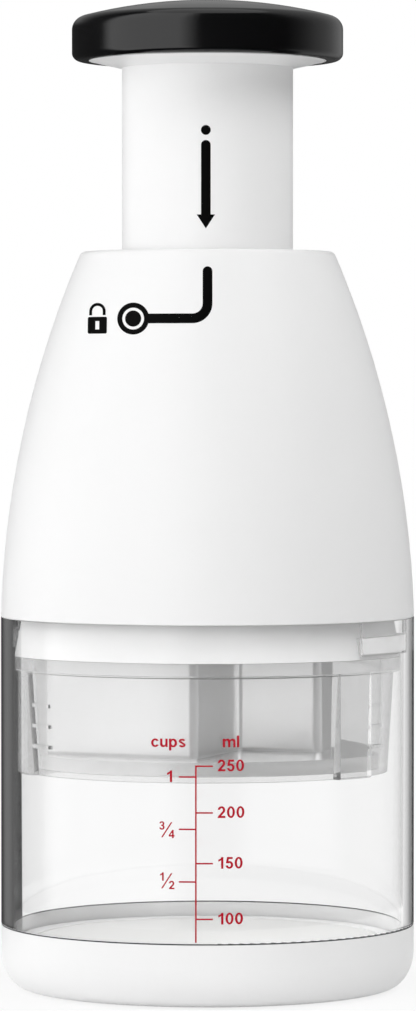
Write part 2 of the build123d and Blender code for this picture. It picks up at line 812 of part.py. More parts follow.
# Thrust bush: flange over the spring, bearing for the spindle's journal
with BuildPart() as thrust_bush:
    with BuildSketch(Plane.XZ):
        with BuildLine():
            bush_bore = journal_radius + shaft_gap
            Polyline(
                (bush_bore, journal_z + shaft_gap),
                (bush_radius, journal_z + shaft_gap),
                (bush_radius, spring_top_z),
                (bush_flange_radius, spring_top_z),
                (bush_flange_radius, bush_top_z),
                (bush_radius, bush_top_z),
                (bush_radius, spindle_top_z - shaft_gap),
                (bush_bore, spindle_top_z - shaft_gap),
                close=True,
            )
        make_face()
    revolve(axis=Axis.Z)
thrust_bush.part.label = "thrust_bush"
export_step(thrust_bush.part, "parts/thrust_bush.step")

# Spindle washer and screw: keep the spindle hung on the bush
with BuildPart() as spindle_washer:
    with BuildSketch(Plane.XY.offset(washer_z)):
        Circle(washer_radius)
        Circle(screw_radius + shaft_gap, mode=Mode.SUBTRACT)
    extrude(amount=washer_thickness)
spindle_washer.part.label = "spindle_washer"
export_step(spindle_washer.part, "parts/spindle_washer.step")

with BuildPart() as spindle_screw:
    add(pan_screw(spindle_screw_z, head_up=True))
spindle_screw.part.label = "spindle_screw"
export_step(spindle_screw.part, "parts/spindle_screw.step")

# Plunger tube: flanged tube with a push ring inside and two lock lugs at its foot
with BuildPart() as plunger_tube:
    with BuildSketch(Plane.XZ):
        with BuildLine():
            Polyline(
                (tube_bore, tube_z),
                (tube_radius, tube_z),
                (tube_radius, flange_z),
                (flange_radius, cap_z),
                (flange_radius, plunger_top_z),
                (driver_hole_radius, plunger_top_z),
                (driver_hole_radius, plunger_roof_z),
                (push_ring_bore, plunger_roof_z),
                (push_ring_bore, push_z),
                (push_ring_radius, push_z),
                (push_ring_radius, plunger_roof_z),
                (tube_bore, plunger_roof_z),
                close=True,
            )
        make_face()
    revolve(axis=Axis.Z)
    with BuildSketch(Plane.XY.offset(tube_z)):
        for turn in range(lug_count):
            add(ring_sector(tube_radius - tube_wall / 2, lug_radius, turn * 360 / lug_count, lug_span))
    extrude(amount=lug_height)
plunger_tube.part.label = "plunger_tube"
export_step(plunger_tube.part, "parts/plunger_tube.step")

# Palm cap: domed shell over the plunger's flange, ribbed inside
cap_bore = flange_radius + seat_gap
cap_seat_z = plunger_top_z + seat_gap
cavity_radius = cap_bore - cap_step
cavity_z = cap_top_z - cap_wall
dome_span = degrees(asin(cap_radius / cap_dome_radius))
with BuildPart() as palm_cap:
    with BuildSketch(Plane.XZ) as cap_outline:
        with BuildLine():
            dome = CenterArc((0, cap_top_z - cap_dome_radius), cap_dome_radius, 90 - dome_span, dome_span)
            Polyline(dome @ 0, (cap_radius, cap_z), (0, cap_z), dome @ 1)
        make_face()
        outer_corners = cap_outline.vertices().group_by(Axis.X)[-1].sort_by(Axis.Y)
        fillet(outer_corners[0], cap_lower_radius)
        outer_corners = cap_outline.vertices().group_by(Axis.X)[-1].sort_by(Axis.Y)
        fillet(outer_corners[-1], cap_upper_radius)
    revolve(axis=Axis.Z)
    with BuildSketch(Plane.XZ):
        with BuildLine():
            roof_radius = cap_dome_radius - cap_wall
            roof_span = degrees(asin(cavity_radius / roof_radius))
            roof = CenterArc((0, cap_top_z - cap_dome_radius), roof_radius, 90 - roof_span, roof_span)
            Polyline(
                roof @ 0,
                (cavity_radius, cap_seat_z),
                (cap_bore, cap_seat_z),
                (cap_bore, cap_z),
                (0, cap_z),
                roof @ 1,
            )
        make_face()
    revolve(axis=Axis.Z, mode=Mode.SUBTRACT)
    with BuildSketch(Plane.XY.offset(cap_seat_z)):
        with PolarLocations(cap_rib_inner_radius, cap_rib_count):
            Rectangle(cap_bore - cap_rib_inner_radius, cap_rib_width, align=(Align.MIN, Align.CENTER))
    extrude(amount=cavity_z - cap_seat_z)
    revolve(cap_outline.sketch.faces(), axis=Axis.Z, mode=Mode.INTERSECT)
palm_cap.part.label = "palm_cap"
export_step(palm_cap.part, "parts/palm_cap.step")
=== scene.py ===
"""Palm-press vegetable chopper: finishes, print, return coil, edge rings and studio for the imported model."""
import json
import math

import bpy
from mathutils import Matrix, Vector


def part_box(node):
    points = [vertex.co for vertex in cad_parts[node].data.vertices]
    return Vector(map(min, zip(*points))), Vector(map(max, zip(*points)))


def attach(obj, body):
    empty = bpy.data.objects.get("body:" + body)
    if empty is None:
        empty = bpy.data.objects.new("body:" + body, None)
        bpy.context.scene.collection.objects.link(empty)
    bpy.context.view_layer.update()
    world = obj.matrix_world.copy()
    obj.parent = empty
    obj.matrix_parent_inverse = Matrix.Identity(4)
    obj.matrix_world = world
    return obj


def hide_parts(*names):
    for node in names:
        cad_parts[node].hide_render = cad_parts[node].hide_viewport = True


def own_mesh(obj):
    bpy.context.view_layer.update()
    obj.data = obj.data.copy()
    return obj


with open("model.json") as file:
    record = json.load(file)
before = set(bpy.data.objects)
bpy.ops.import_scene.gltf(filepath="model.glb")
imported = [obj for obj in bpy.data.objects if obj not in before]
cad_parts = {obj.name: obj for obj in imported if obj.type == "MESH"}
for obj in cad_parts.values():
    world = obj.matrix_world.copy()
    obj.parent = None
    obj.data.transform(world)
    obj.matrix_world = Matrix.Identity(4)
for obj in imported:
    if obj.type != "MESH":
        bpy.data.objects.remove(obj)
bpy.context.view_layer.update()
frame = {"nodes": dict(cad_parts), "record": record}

bl_info = {
    "name": "Palm-press chopper",
    "version": (1, 0, 0),
    "blender": (4, 5, 0),
    "location": "View3D > Sidebar > Chopper",
    "description": "Finishes, print, return coil, edge rings and studio of the palm-press chopper",
    "category": "Object",
}

NODES = frame["nodes"]
SLOT_OF_NODE = {part["node"]: part["material_slot"] for part in frame["record"]["subparts"]}
MM = 0.001
CLEAR_IOR = 1.49
UNBENT_IOR = 1.001
WHITE = (1.0, 1.0, 1.0, 1.0)


def top_of(node):
    """Height of a node's highest point."""
    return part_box(node)[1].z


class ChopperSizes(bpy.types.PropertyGroup):
    """Sizes of the printed marks, the edge rings and the return coil."""

    print_thickness: bpy.props.FloatProperty(
        name="Print thickness", description="Thickness of the printed ink", default=0.02 * MM, unit="LENGTH")
    print_gap: bpy.props.FloatProperty(
        name="Print gap", description="Gap between ink and surface", default=0.008 * MM, unit="LENGTH")
    arrow_width: bpy.props.FloatProperty(
        name="Arrow width", description="Width of the arrow's shaft", default=2.05 * MM, unit="LENGTH")
    arrow_length: bpy.props.FloatProperty(
        name="Arrow length", description="Length of the arrow from shaft end to tip", default=18.9 * MM,
        unit="LENGTH")
    arrow_head_width: bpy.props.FloatProperty(
        name="Arrow head width", description="Width of the arrow's head", default=3.9 * MM, unit="LENGTH")
    arrow_head_length: bpy.props.FloatProperty(
        name="Arrow head length", description="Length of the arrow's head", default=3.0 * MM, unit="LENGTH")
    track_width: bpy.props.FloatProperty(
        name="Track width", description="Width of the printed lock track", default=2.05 * MM, unit="LENGTH")
    ring_radius: bpy.props.FloatProperty(
        name="Ring radius", description="Outer radius of the printed ring", default=3.4 * MM, unit="LENGTH")
    padlock_width: bpy.props.FloatProperty(
        name="Padlock width", description="Width of the printed padlock", default=4.15 * MM, unit="LENGTH")
    scale_line: bpy.props.FloatProperty(
        name="Scale line", description="Width of the scale's lines", default=0.33 * MM, unit="LENGTH")
    digit_height: bpy.props.FloatProperty(
        name="Digit height", description="Height of the scale's figures", default=2.45 * MM, unit="LENGTH")
    fraction_height: bpy.props.FloatProperty(
        name="Fraction height", description="Height of the figures in fractions", default=1.75 * MM,
        unit="LENGTH")
    # Radius of the ring painted as shade in the joint between cup and base.
    joint_shade_radius: bpy.props.FloatProperty(
        name="Joint shade radius", description="Radius of the ring painted as shade in the joint above the base", default=0.22 * MM,
        unit="LENGTH")
    bead_radius: bpy.props.FloatProperty(
        name="Bead radius", description="Radius of the bead under the guard's flange", default=0.25 * MM,
        unit="LENGTH")
    coil_wire: bpy.props.FloatProperty(
        name="Coil wire", description="Radius of the return coil's wire", default=0.7 * MM, unit="LENGTH")
    coil_turns: bpy.props.IntProperty(
        name="Coil turns", description="Turns of the return coil", default=7)


class ChopperColours(bpy.types.PropertyGroup):
    """Colours of the finishes."""

    shell_white: bpy.props.FloatVectorProperty(
        name="Shell white", description="Bell and tube", default=(0.88, 0.88, 0.88), subtype="COLOR")
    # Painted shade: the shell white made darker for the collar, which sits in shade under the bell.
    collar_shaded_white: bpy.props.FloatVectorProperty(
        name="Collar white", description="Collar, shell white darkened as painted shade", default=(0.78, 0.78, 0.78), subtype="COLOR")
    base_white: bpy.props.FloatVectorProperty(
        name="Base white", description="Base cap", default=(0.91, 0.91, 0.91), subtype="COLOR")
    board_white: bpy.props.FloatVectorProperty(
        name="Board white", description="Cutting board", default=(0.8, 0.8, 0.79), subtype="COLOR")
    inner_white: bpy.props.FloatVectorProperty(
        name="Inner white", description="Bridge plate and blade carrier", default=(0.8, 0.8, 0.79),
        subtype="COLOR")
    inner_grey: bpy.props.FloatVectorProperty(
        name="Inner grey", description="Spindle, nut, ratchet and bush", default=(0.52, 0.52, 0.53),
        subtype="COLOR")
    cap_black: bpy.props.FloatVectorProperty(
        name="Cap black", description="Palm cap", default=(0.0035, 0.0035, 0.0038), subtype="COLOR")
    rubber_grey: bpy.props.FloatVectorProperty(
        name="Rubber grey", description="Foot ring and seal", default=(0.4, 0.4, 0.41), subtype="COLOR")
    # Painted shade: near-black grey of the ring laid in the joint between cup and base to stand in for the
    # shadow there.
    joint_shade_grey: bpy.props.FloatVectorProperty(
        name="Joint shade grey", description="Near-black ring painted as shade in the joint between cup and base", default=(0.05, 0.05, 0.052),
        subtype="COLOR")
    cup_clear: bpy.props.FloatVectorProperty(
        name="Cup clear", description="Measuring cup", default=(0.976, 0.976, 0.976), subtype="COLOR")
    guard_clear: bpy.props.FloatVectorProperty(
        name="Guard clear", description="Blade guard", default=(0.977, 0.977, 0.977), subtype="COLOR")
    guard_grey: bpy.props.FloatVectorProperty(
        name="Guard grey", description="Colour that the guard takes on where it is thick",
        default=(0.51, 0.51, 0.51), subtype="COLOR")
    wiper_clear: bpy.props.FloatVectorProperty(
        name="Wiper clear", description="Wiper disc", default=(0.94, 0.94, 0.94), subtype="COLOR")
    blade_steel: bpy.props.FloatVectorProperty(
        name="Blade steel", description="Blade strips", default=(0.805, 0.805, 0.805), subtype="COLOR")
    bright_steel: bpy.props.FloatVectorProperty(
        name="Bright steel", description="Screws, washer and coil", default=(0.62, 0.62, 0.63),
        subtype="COLOR")
    print_black: bpy.props.FloatVectorProperty(
        name="Print black", description="Arrow, track and padlock", default=(0.002, 0.002, 0.002),
        subtype="COLOR")
    scale_red: bpy.props.FloatVectorProperty(
        name="Scale red", description="Printed scale", default=(0.45, 0.011, 0.026), subtype="COLOR")


class ChopperStudio(bpy.types.PropertyGroup):
    """Camera and lights of the studio."""

    camera_distance: bpy.props.FloatProperty(
        name="Camera distance", description="From the camera to the chopper's axis", default=1.0787,
        unit="LENGTH")
    camera_height: bpy.props.FloatProperty(
        name="Camera height", description="Height of the camera", default=0.1306, unit="LENGTH")
    camera_aside: bpy.props.FloatProperty(
        name="Camera aside", description="How far right of the axis the camera stands", default=0.0001,
        unit="LENGTH")
    camera_pitch: bpy.props.FloatProperty(
        name="Camera pitch", description="How far down the camera looks", default=math.radians(1.36),
        subtype="ANGLE")
    lens: bpy.props.FloatProperty(
        name="Lens", description="Focal length of the camera on a 36 mm frame, in millimetres",
        default=176.26)
    sky: bpy.props.FloatProperty(
        name="Sky", description="Strength of the light from all round", default=0.15)
    key: bpy.props.FloatProperty(
        name="Key", description="Power of the large lamp at the front left", default=4.6, unit="POWER")
    upper: bpy.props.FloatProperty(
        name="Upper", description="Power of the lamp high at the front left", default=3.9, unit="POWER")
    left: bpy.props.FloatProperty(
        name="Left", description="Power of the lamp behind on the left", default=5.0, unit="POWER")
    fill: bpy.props.FloatProperty(
        name="Fill", description="Power of the lamp high at the front right", default=4.6, unit="POWER")
    right: bpy.props.FloatProperty(
        name="Right", description="Power of the lamp high behind on the right", default=3.5, unit="POWER")


def sizes():
    """Sizes set in the sidebar."""
    return bpy.context.scene.chopper_sizes


def colours():
    """Colours set in the sidebar."""
    return bpy.context.scene.chopper_colours


def studio():
    """Camera and lights set in the sidebar."""
    return bpy.context.scene.chopper_studio


# Selecting and finishing pieces


def deselect_all():
    """Leave nothing selected, for the next operator."""
    bpy.ops.object.select_all(action="DESELECT")


def pick(piece):
    """Make one object the only selected one, and active."""
    deselect_all()
    piece.select_set(True)
    bpy.context.view_layer.objects.active = piece


def settle(piece):
    """Put the object's place into its mesh and apply its modifiers."""
    pick(piece)
    bpy.ops.object.transform_apply(location=True, rotation=True, scale=True)
    for modifier in list(piece.modifiers):
        bpy.ops.object.modifier_apply(modifier=modifier.name)


def edit_all(piece, *steps):
    """Run edit-mode steps on everything in a piece."""
    pick(piece)
    bpy.ops.object.mode_set(mode="EDIT")
    bpy.ops.mesh.select_all(action="SELECT")
    for step in steps:
        step()
    bpy.ops.object.mode_set(mode="OBJECT")


def joined(pieces, name):
    """Join pieces into one object with a name."""
    deselect_all()
    for piece in pieces:
        piece.select_set(True)
    bpy.context.view_layer.objects.active = pieces[0]
    if len(pieces) > 1:
        bpy.ops.object.join()
    whole = bpy.context.view_layer.objects.active
    whole.name = name
    whole.data.name = name
    return whole


# Node groups that several finishes share


def new_group(name, inputs, outputs):
    """Shader node group with named sockets: its tree, what comes in, and the node that takes the results."""
    group = bpy.data.node_groups.new(name, "ShaderNodeTree")
    for way, rows in (("INPUT", inputs), ("OUTPUT", outputs)):
        for label, kind, *default in rows:
            made = group.interface.new_socket(name=label, in_out=way, socket_type="NodeSocket" + kind)
            if default:
                made.default_value = default[0]
    return group, group.nodes.new("NodeGroupInput").outputs, group.nodes.new("NodeGroupOutput")


def feed(tree, target, value):
    """Link a socket of another node to a socket, or set anything else as its value."""
    if isinstance(value, bpy.types.NodeSocket):
        tree.links.new(value, target)
    else:
        target.default_value = value


def add_node(tree, kind, **inputs):
    """Add a node and feed its sockets."""
    node = tree.nodes.new(kind)
    for name, value in inputs.items():
        feed(tree, node.inputs[name.replace("_", " ")], value)
    return node


def add_math(tree, operation, first, second):
    """Add a math node and give its result."""
    node = tree.nodes.new("ShaderNodeMath")
    node.operation = operation
    feed(tree, node.inputs[0], first)
    feed(tree, node.inputs[1], second)
    return node.outputs[0]


def node_of(tree, kind):
    """The tree's first node of a type."""
    return next(node for node in tree.nodes if node.type == kind)


def mix_shaders(tree, share, first, second, output):
    """End a tree in a mix: the first shader where the share is 0, the second where it is 1."""
    mix = tree.nodes.new("ShaderNodeMixShader")
    for target, source in zip(mix.inputs, (share, first.outputs[0], second.outputs[0])):
        tree.links.new(source, target)
    tree.links.new(mix.outputs[0], output.inputs["Surface"])


def shaded(tree, colour, shade):
    """A colour made lighter or darker by a factor."""
    tint = tree.nodes.new("ShaderNodeVectorMath")
    tint.operation = "SCALE"
    tree.links.new(colour, tint.inputs[0])
    tree.links.new(shade, tint.inputs["Scale"])
    return tint.outputs[0]


def put_out(group, end, **results):
    """Send results to a group's outputs."""
    for name, result in results.items():
        group.links.new(result, end.inputs[name])


def spread_about(tree, noise, middle, spread):
    """A noise between 0 and 1 as a value about a middle."""
    swing = add_math(tree, "SUBTRACT", noise, 0.5)
    wide = add_math(tree, "MULTIPLY", swing, spread)
    return add_math(tree, "ADD", middle, wide)


def moulded_skin_group():
    """Moulded plastic: slight cloudiness of colour, uneven gloss and fine grain."""
    group, given, end = new_group(
        "Moulded Skin",
        (("Colour", "Color"), ("Cloudiness", "Float", 0.03), ("Roughness", "Float", 0.4),
         ("Gloss Spread", "Float", 0.08), ("Grain Scale", "Float", 2500.0)),
        (("Colour", "Color"), ("Roughness", "Float"), ("Height", "Float")))
    place = group.nodes.new("ShaderNodeTexCoord").outputs["Object"]
    cloud = add_node(group, "ShaderNodeTexNoise", Vector=place, Scale=38.0, Detail=3.0).outputs["Fac"]
    grain = add_node(
        group, "ShaderNodeTexNoise", Vector=place, Scale=given["Grain Scale"], Detail=4.0,
        Roughness=0.6).outputs["Fac"]
    shade = spread_about(group, cloud, 1.0, given["Cloudiness"])
    tint = shaded(group, given["Colour"], shade)
    gloss = add_math(group, "MULTIPLY", cloud, grain)
    rough = spread_about(group, gloss, given["Roughness"], given["Gloss Spread"])
    put_out(group, end, Colour=tint, Roughness=rough, Height=grain)
    return group


def handled_gloss_group():
    """Polished surface that is handled: soft smears and hair scratches in its gloss."""
    group, given, end = new_group(
        "Handled Gloss",
        (("Roughness", "Float", 0.05), ("Smear", "Float", 0.06), ("Scratch", "Float", 0.05)),
        (("Roughness", "Float"), ("Height", "Float")))
    place = group.nodes.new("ShaderNodeTexCoord").outputs["Object"]
    smear = add_node(
        group, "ShaderNodeTexNoise", Vector=place, Scale=55.0, Detail=5.0, Roughness=0.55).outputs["Fac"]
    turned = add_node(
        group, "ShaderNodeMapping", Vector=place, Rotation=(0.3, 0.5, 0.9), Scale=(90.0, 1400.0, 90.0))
    hair = add_node(group, "ShaderNodeTexNoise", Vector=turned.outputs[0], Scale=1.0, Detail=2.0)
    patch = add_node(group, "ShaderNodeMapRange", Value=smear, From_Min=0.45, From_Max=0.75)
    line = add_node(group, "ShaderNodeMapRange", Value=hair.outputs["Fac"], From_Min=0.64, From_Max=0.74)
    smeared = add_math(group, "MULTIPLY", patch.outputs[0], given["Smear"])
    scratched = add_math(group, "MULTIPLY", line.outputs[0], given["Scratch"])
    marks = add_math(group, "ADD", smeared, scratched)
    put_out(group, end, Roughness=add_math(group, "ADD", given["Roughness"], marks), Height=smear)
    return group


def drawn_metal_group():
    """Drawn or ground metal: streaks across the height that change colour, gloss and relief."""
    group, given, end = new_group(
        "Drawn Metal",
        (("Colour", "Color"), ("Roughness", "Float", 0.25), ("Streak", "Float", 0.2)),
        (("Colour", "Color"), ("Roughness", "Float"), ("Height", "Float")))
    place = group.nodes.new("ShaderNodeTexCoord").outputs["Object"]
    drawn = add_node(group, "ShaderNodeMapping", Vector=place, Scale=(60.0, 60.0, 5200.0))
    streak = add_node(
        group, "ShaderNodeTexNoise", Vector=drawn.outputs[0], Scale=1.0, Detail=4.0,
        Roughness=0.7).outputs["Fac"]
    tint = shaded(group, given["Colour"], spread_about(group, streak, 1.0, given["Streak"]))
    rough = spread_about(group, streak, given["Roughness"], given["Streak"])
    put_out(group, end, Colour=tint, Roughness=rough, Height=streak)
    return group


def group_node(tree, maker, name, **inputs):
    """Place a shared group in a material, building it the first time."""
    node = tree.nodes.new("ShaderNodeGroup")
    node.node_tree = bpy.data.node_groups.get(name) or maker()
    for key, value in inputs.items():
        node.inputs[key.replace("_", " ")].default_value = value
    return node


# Finishes


def empty_finish(name):
    """Material without nodes, and its tree."""
    finish = bpy.data.materials.new(name)
    finish.use_nodes = True
    finish.node_tree.nodes.clear()
    return finish, finish.node_tree


def new_finish(name):
    """Empty material with its tree and its shader."""
    finish, tree = empty_finish(name)
    shader = tree.nodes.new("ShaderNodeBsdfPrincipled")
    output = tree.nodes.new("ShaderNodeOutputMaterial")
    tree.links.new(shader.outputs[0], output.inputs["Surface"])
    return finish, tree, shader


def relief(tree, shader, height, strength, distance):
    """Feed a height to the shader's normal."""
    bump = add_node(tree, "ShaderNodeBump", Height=height, Strength=strength, Distance=distance)
    tree.links.new(bump.outputs[0], shader.inputs["Normal"])


def moulded_finish(name, colour, roughness, cloudiness=0.03, gloss_spread=0.1, grain=2600.0, depth=0.02 * MM):
    """Moulded plastic or rubber."""
    finish, tree, shader = new_finish(name)
    skin = group_node(
        tree, moulded_skin_group, "Moulded Skin", Colour=(*colour, 1.0), Cloudiness=cloudiness,
        Roughness=roughness, Gloss_Spread=gloss_spread, Grain_Scale=grain)
    tree.links.new(skin.outputs["Colour"], shader.inputs["Base Color"])
    tree.links.new(skin.outputs["Roughness"], shader.inputs["Roughness"])
    relief(tree, shader, skin.outputs["Height"], strength=0.35, distance=depth)
    return finish


def palm_gloss_finish():
    """Polished black cap with the smears of a palm."""
    finish, tree, shader = new_finish("cap_gloss_black")
    skin = group_node(
        tree, moulded_skin_group, "Moulded Skin", Colour=(*colours().cap_black, 1.0), Cloudiness=0.3,
        Roughness=0.16, Gloss_Spread=0.05, Grain_Scale=900.0)
    gloss = group_node(tree, handled_gloss_group, "Handled Gloss", Roughness=0.13, Smear=0.08, Scratch=0.06)
    tree.links.new(skin.outputs["Colour"], shader.inputs["Base Color"])
    tree.links.new(gloss.outputs["Roughness"], shader.inputs["Roughness"])
    relief(tree, shader, skin.outputs["Height"], strength=0.12, distance=0.01 * MM)
    return finish


def let_lamps_through(tree, shader, colour):
    """Let the light of the lamps through a clear moulding to what is behind it."""
    path = tree.nodes.new("ShaderNodeLightPath")
    open_way = add_node(tree, "ShaderNodeBsdfTransparent", Color=(*colour, 1.0))
    mix_shaders(tree, path.outputs["Is Shadow Ray"], shader, open_way, node_of(tree, "OUTPUT_MATERIAL"))


def clear_finish(name, colour, roughness, smear, scratch, clearness=1.0):
    """Clear or hazy moulding that bends the light."""
    finish, tree, shader = new_finish(name)
    let_lamps_through(tree, shader, colour)
    shader.inputs["Base Color"].default_value = (*colour, 1.0)
    shader.inputs["Transmission Weight"].default_value = clearness
    shader.inputs["IOR"].default_value = CLEAR_IOR
    gloss = group_node(
        tree, handled_gloss_group, "Handled Gloss", Roughness=roughness, Smear=smear, Scratch=scratch)
    tree.links.new(gloss.outputs["Roughness"], shader.inputs["Roughness"])
    relief(tree, shader, gloss.outputs["Height"], strength=0.05, distance=0.02 * MM)
    return finish


def let_guided_light_out(finish):
    """Let light that runs round inside a thin wall out of it after its first reflection."""
    tree = finish.node_tree
    path = tree.nodes.new("ShaderNodeLightPath")
    fresh = add_math(tree, "LESS_THAN", path.outputs["Glossy Depth"], 0.5)
    bent = add_math(tree, "ADD", UNBENT_IOR, add_math(tree, "MULTIPLY", fresh, CLEAR_IOR - UNBENT_IOR))
    tree.links.new(bent, node_of(tree, "BSDF_PRINCIPLED").inputs["IOR"])


def tint_inside(finish, colour, density):
    """Colour a clear moulding through its thickness."""
    tree = finish.node_tree
    inside = add_node(tree, "ShaderNodeVolumeAbsorption", Color=(*colour, 1.0), Density=density)
    tree.links.new(inside.outputs[0], node_of(tree, "OUTPUT_MATERIAL").inputs["Volume"])


def steel_finish(name, colour, roughness, streak):
    """Drawn steel."""
    finish, tree, shader = new_finish(name)
    drawn = group_node(
        tree, drawn_metal_group, "Drawn Metal", Colour=(*colour, 1.0), Roughness=roughness, Streak=streak)
    shader.inputs["Metallic"].default_value = 1.0
    tree.links.new(drawn.outputs["Colour"], shader.inputs["Base Color"])
    tree.links.new(drawn.outputs["Roughness"], shader.inputs["Roughness"])
    relief(tree, shader, drawn.outputs["Height"], strength=0.2, distance=0.01 * MM)
    return finish


def paint(node, finish):
    """Give a finish to a node."""
    NODES[node].data.materials.clear()
    NODES[node].data.materials.append(finish)


def paint_slot(slot, finish):
    """Give a finish to every node of a material slot."""
    for node, its_slot in SLOT_OF_NODE.items():
        if its_slot == slot:
            paint(node, finish)


class CHOPPER_OT_white_mouldings(bpy.types.Operator):
    """Satin white finish of the bell, tube, collar, base, board and inner plates"""
    bl_idname = "chopper.white_mouldings"
    bl_label = "White mouldings"

    def execute(self, context):
        tones = colours()
        paint_slot("shell_white", moulded_finish("shell_satin_white", tones.shell_white, roughness=0.4))
        # Painted shade: the collar gets a darker copy of the shell's satin white.
        paint("collar_ring", moulded_finish("collar_satin_white", tones.collar_shaded_white, roughness=0.4))
        paint_slot("base_white", moulded_finish("base_satin_white", tones.base_white, roughness=0.43))
        paint_slot("board_white", moulded_finish(
            "board_matt_white", tones.board_white, roughness=0.6, cloudiness=0.06, grain=1500.0,
            depth=0.05 * MM))
        paint_slot("inner_white", moulded_finish(
            "inner_plain_white", tones.inner_white, roughness=0.5, cloudiness=0.05))
        return {"FINISHED"}


class CHOPPER_OT_palm_cap(bpy.types.Operator):
    """Polished black finish of the palm cap"""
    bl_idname = "chopper.palm_cap"
    bl_label = "Palm cap"

    def execute(self, context):
        paint_slot("cap_black", palm_gloss_finish())
        return {"FINISHED"}


class CHOPPER_OT_clear_mouldings(bpy.types.Operator):
    """Clear finish of the measuring cup, blade guard and wiper disc"""
    bl_idname = "chopper.clear_mouldings"
    bl_label = "Clear mouldings"

    guard_density = 80.0
    wiper_clearness = 0.6

    def execute(self, context):
        tones = colours()
        paint_slot("cup_clear", clear_finish(
            "cup_polished_clear", tones.cup_clear, roughness=0.0, smear=0.02, scratch=0.02))
        guard = clear_finish("guard_grey_clear", tones.guard_clear, roughness=0.02, smear=0.04, scratch=0.03)
        tint_inside(guard, tones.guard_grey, self.guard_density)
        let_guided_light_out(guard)
        paint("blade_guard", guard)
        wiper = clear_finish(
            "wiper_hazy_clear", tones.wiper_clear, roughness=0.08, smear=0.05, scratch=0.03,
            clearness=self.wiper_clearness)
        let_guided_light_out(wiper)
        paint("wiper_disc", wiper)
        return {"FINISHED"}


class CHOPPER_OT_steel_parts(bpy.types.Operator):
    """Drawn steel finish of the blades, screws and washer"""
    bl_idname = "chopper.steel_parts"
    bl_label = "Steel parts"

    def execute(self, context):
        tones = colours()
        paint_slot("blade_steel", steel_finish(
            "blade_ground_steel", tones.blade_steel, roughness=0.3, streak=0.12))
        paint_slot("hardware_steel", steel_finish(
            "hardware_bright_steel", tones.bright_steel, roughness=0.24, streak=0.1))
        return {"FINISHED"}


class CHOPPER_OT_inner_drive(bpy.types.Operator):
    """Plain grey finish of the spindle, nut, ratchet and bush, and soft finish of the rubber rings"""
    bl_idname = "chopper.inner_drive"
    bl_label = "Inner drive and rubber rings"

    def execute(self, context):
        tones = colours()
        paint_slot("inner_grey", moulded_finish(
            "drive_waxy_grey", tones.inner_grey, roughness=0.45, cloudiness=0.08))
        paint_slot("rubber_grey", moulded_finish(
            "foot_soft_rubber", tones.rubber_grey, roughness=0.78, cloudiness=0.12, grain=1100.0,
            depth=0.06 * MM))
        return {"FINISHED"}


class CHOPPER_OT_return_coil(bpy.types.Operator):
    """Round wire coil between bridge and bush, riding with the top body"""
    bl_idname = "chopper.return_coil"
    bl_label = "Return coil"

    steps_per_turn = 36
    wire_sides = 14
    close_turns = 1
    close_pitch = 2.6

    def execute(self, context):
        wire, turns = sizes().coil_wire, sizes().coil_turns
        low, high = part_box("return_spring")
        radius = high.x - wire
        rise = high.z - low.z - 2 * wire
        deselect_all()
        bpy.ops.mesh.primitive_circle_add(
            vertices=self.wire_sides, radius=wire, location=(radius, 0, low.z + wire),
            rotation=(math.pi / 2, 0, 0))
        coil = bpy.context.active_object
        coil.name = "return_coil"
        bpy.ops.object.transform_apply(location=True, rotation=True, scale=True)
        winding = coil.modifiers.new("winding", "SCREW")
        winding.axis = "Z"
        winding.angle = 2 * math.pi
        winding.iterations = turns
        winding.screw_offset = rise / turns
        winding.steps = self.steps_per_turn
        winding.render_steps = self.steps_per_turn
        settle(coil)
        self.close_ends(coil, low.z + wire, rise, turns, wire)
        edit_all(
            coil,
            lambda: bpy.ops.mesh.fill_holes(sides=0),
            lambda: bpy.ops.mesh.normals_make_consistent(inside=False))
        pick(coil)
        bpy.ops.object.shade_smooth_by_angle(angle=math.radians(40))
        coil.data.materials.append(bpy.data.materials["hardware_bright_steel"])
        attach(coil, "top")
        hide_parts("return_spring")
        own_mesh(coil)
        return {"FINISHED"}

    def close_ends(self, coil, foot, rise, turns, wire):
        """Draw the first and last turns together and open the turns between them."""
        close_rise = self.close_turns * self.close_pitch * wire
        for vertex in coil.data.vertices:
            angle = math.atan2(vertex.co.y, vertex.co.x) % (2 * math.pi)
            pitch = rise / turns
            turn = round((vertex.co.z - foot) / pitch - angle / (2 * math.pi)) + angle / (2 * math.pi)
            lean = vertex.co.z - foot - turn * pitch
            inner = (turn - self.close_turns) / (turns - 2 * self.close_turns)
            if inner < 0:
                height = turn * close_rise / self.close_turns
            elif inner > 1:
                height = rise - (turns - turn) * close_rise / self.close_turns
            else:
                height = close_rise + inner * (rise - 2 * close_rise)
            vertex.co.z = foot + height + lean


def round_ring(name, ring_radius, wire_radius, z, finish, body):
    """Thin round ring about the axis that rides on a body."""
    deselect_all()
    bpy.ops.mesh.primitive_torus_add(
        major_radius=ring_radius, minor_radius=wire_radius, major_segments=360, minor_segments=12,
        location=(0, 0, z))
    ring = bpy.context.active_object
    ring.name = name
    ring.data.name = name
    settle(ring)
    bpy.ops.object.shade_smooth()
    ring.data.materials.append(finish)
    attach(ring, body)
    return ring


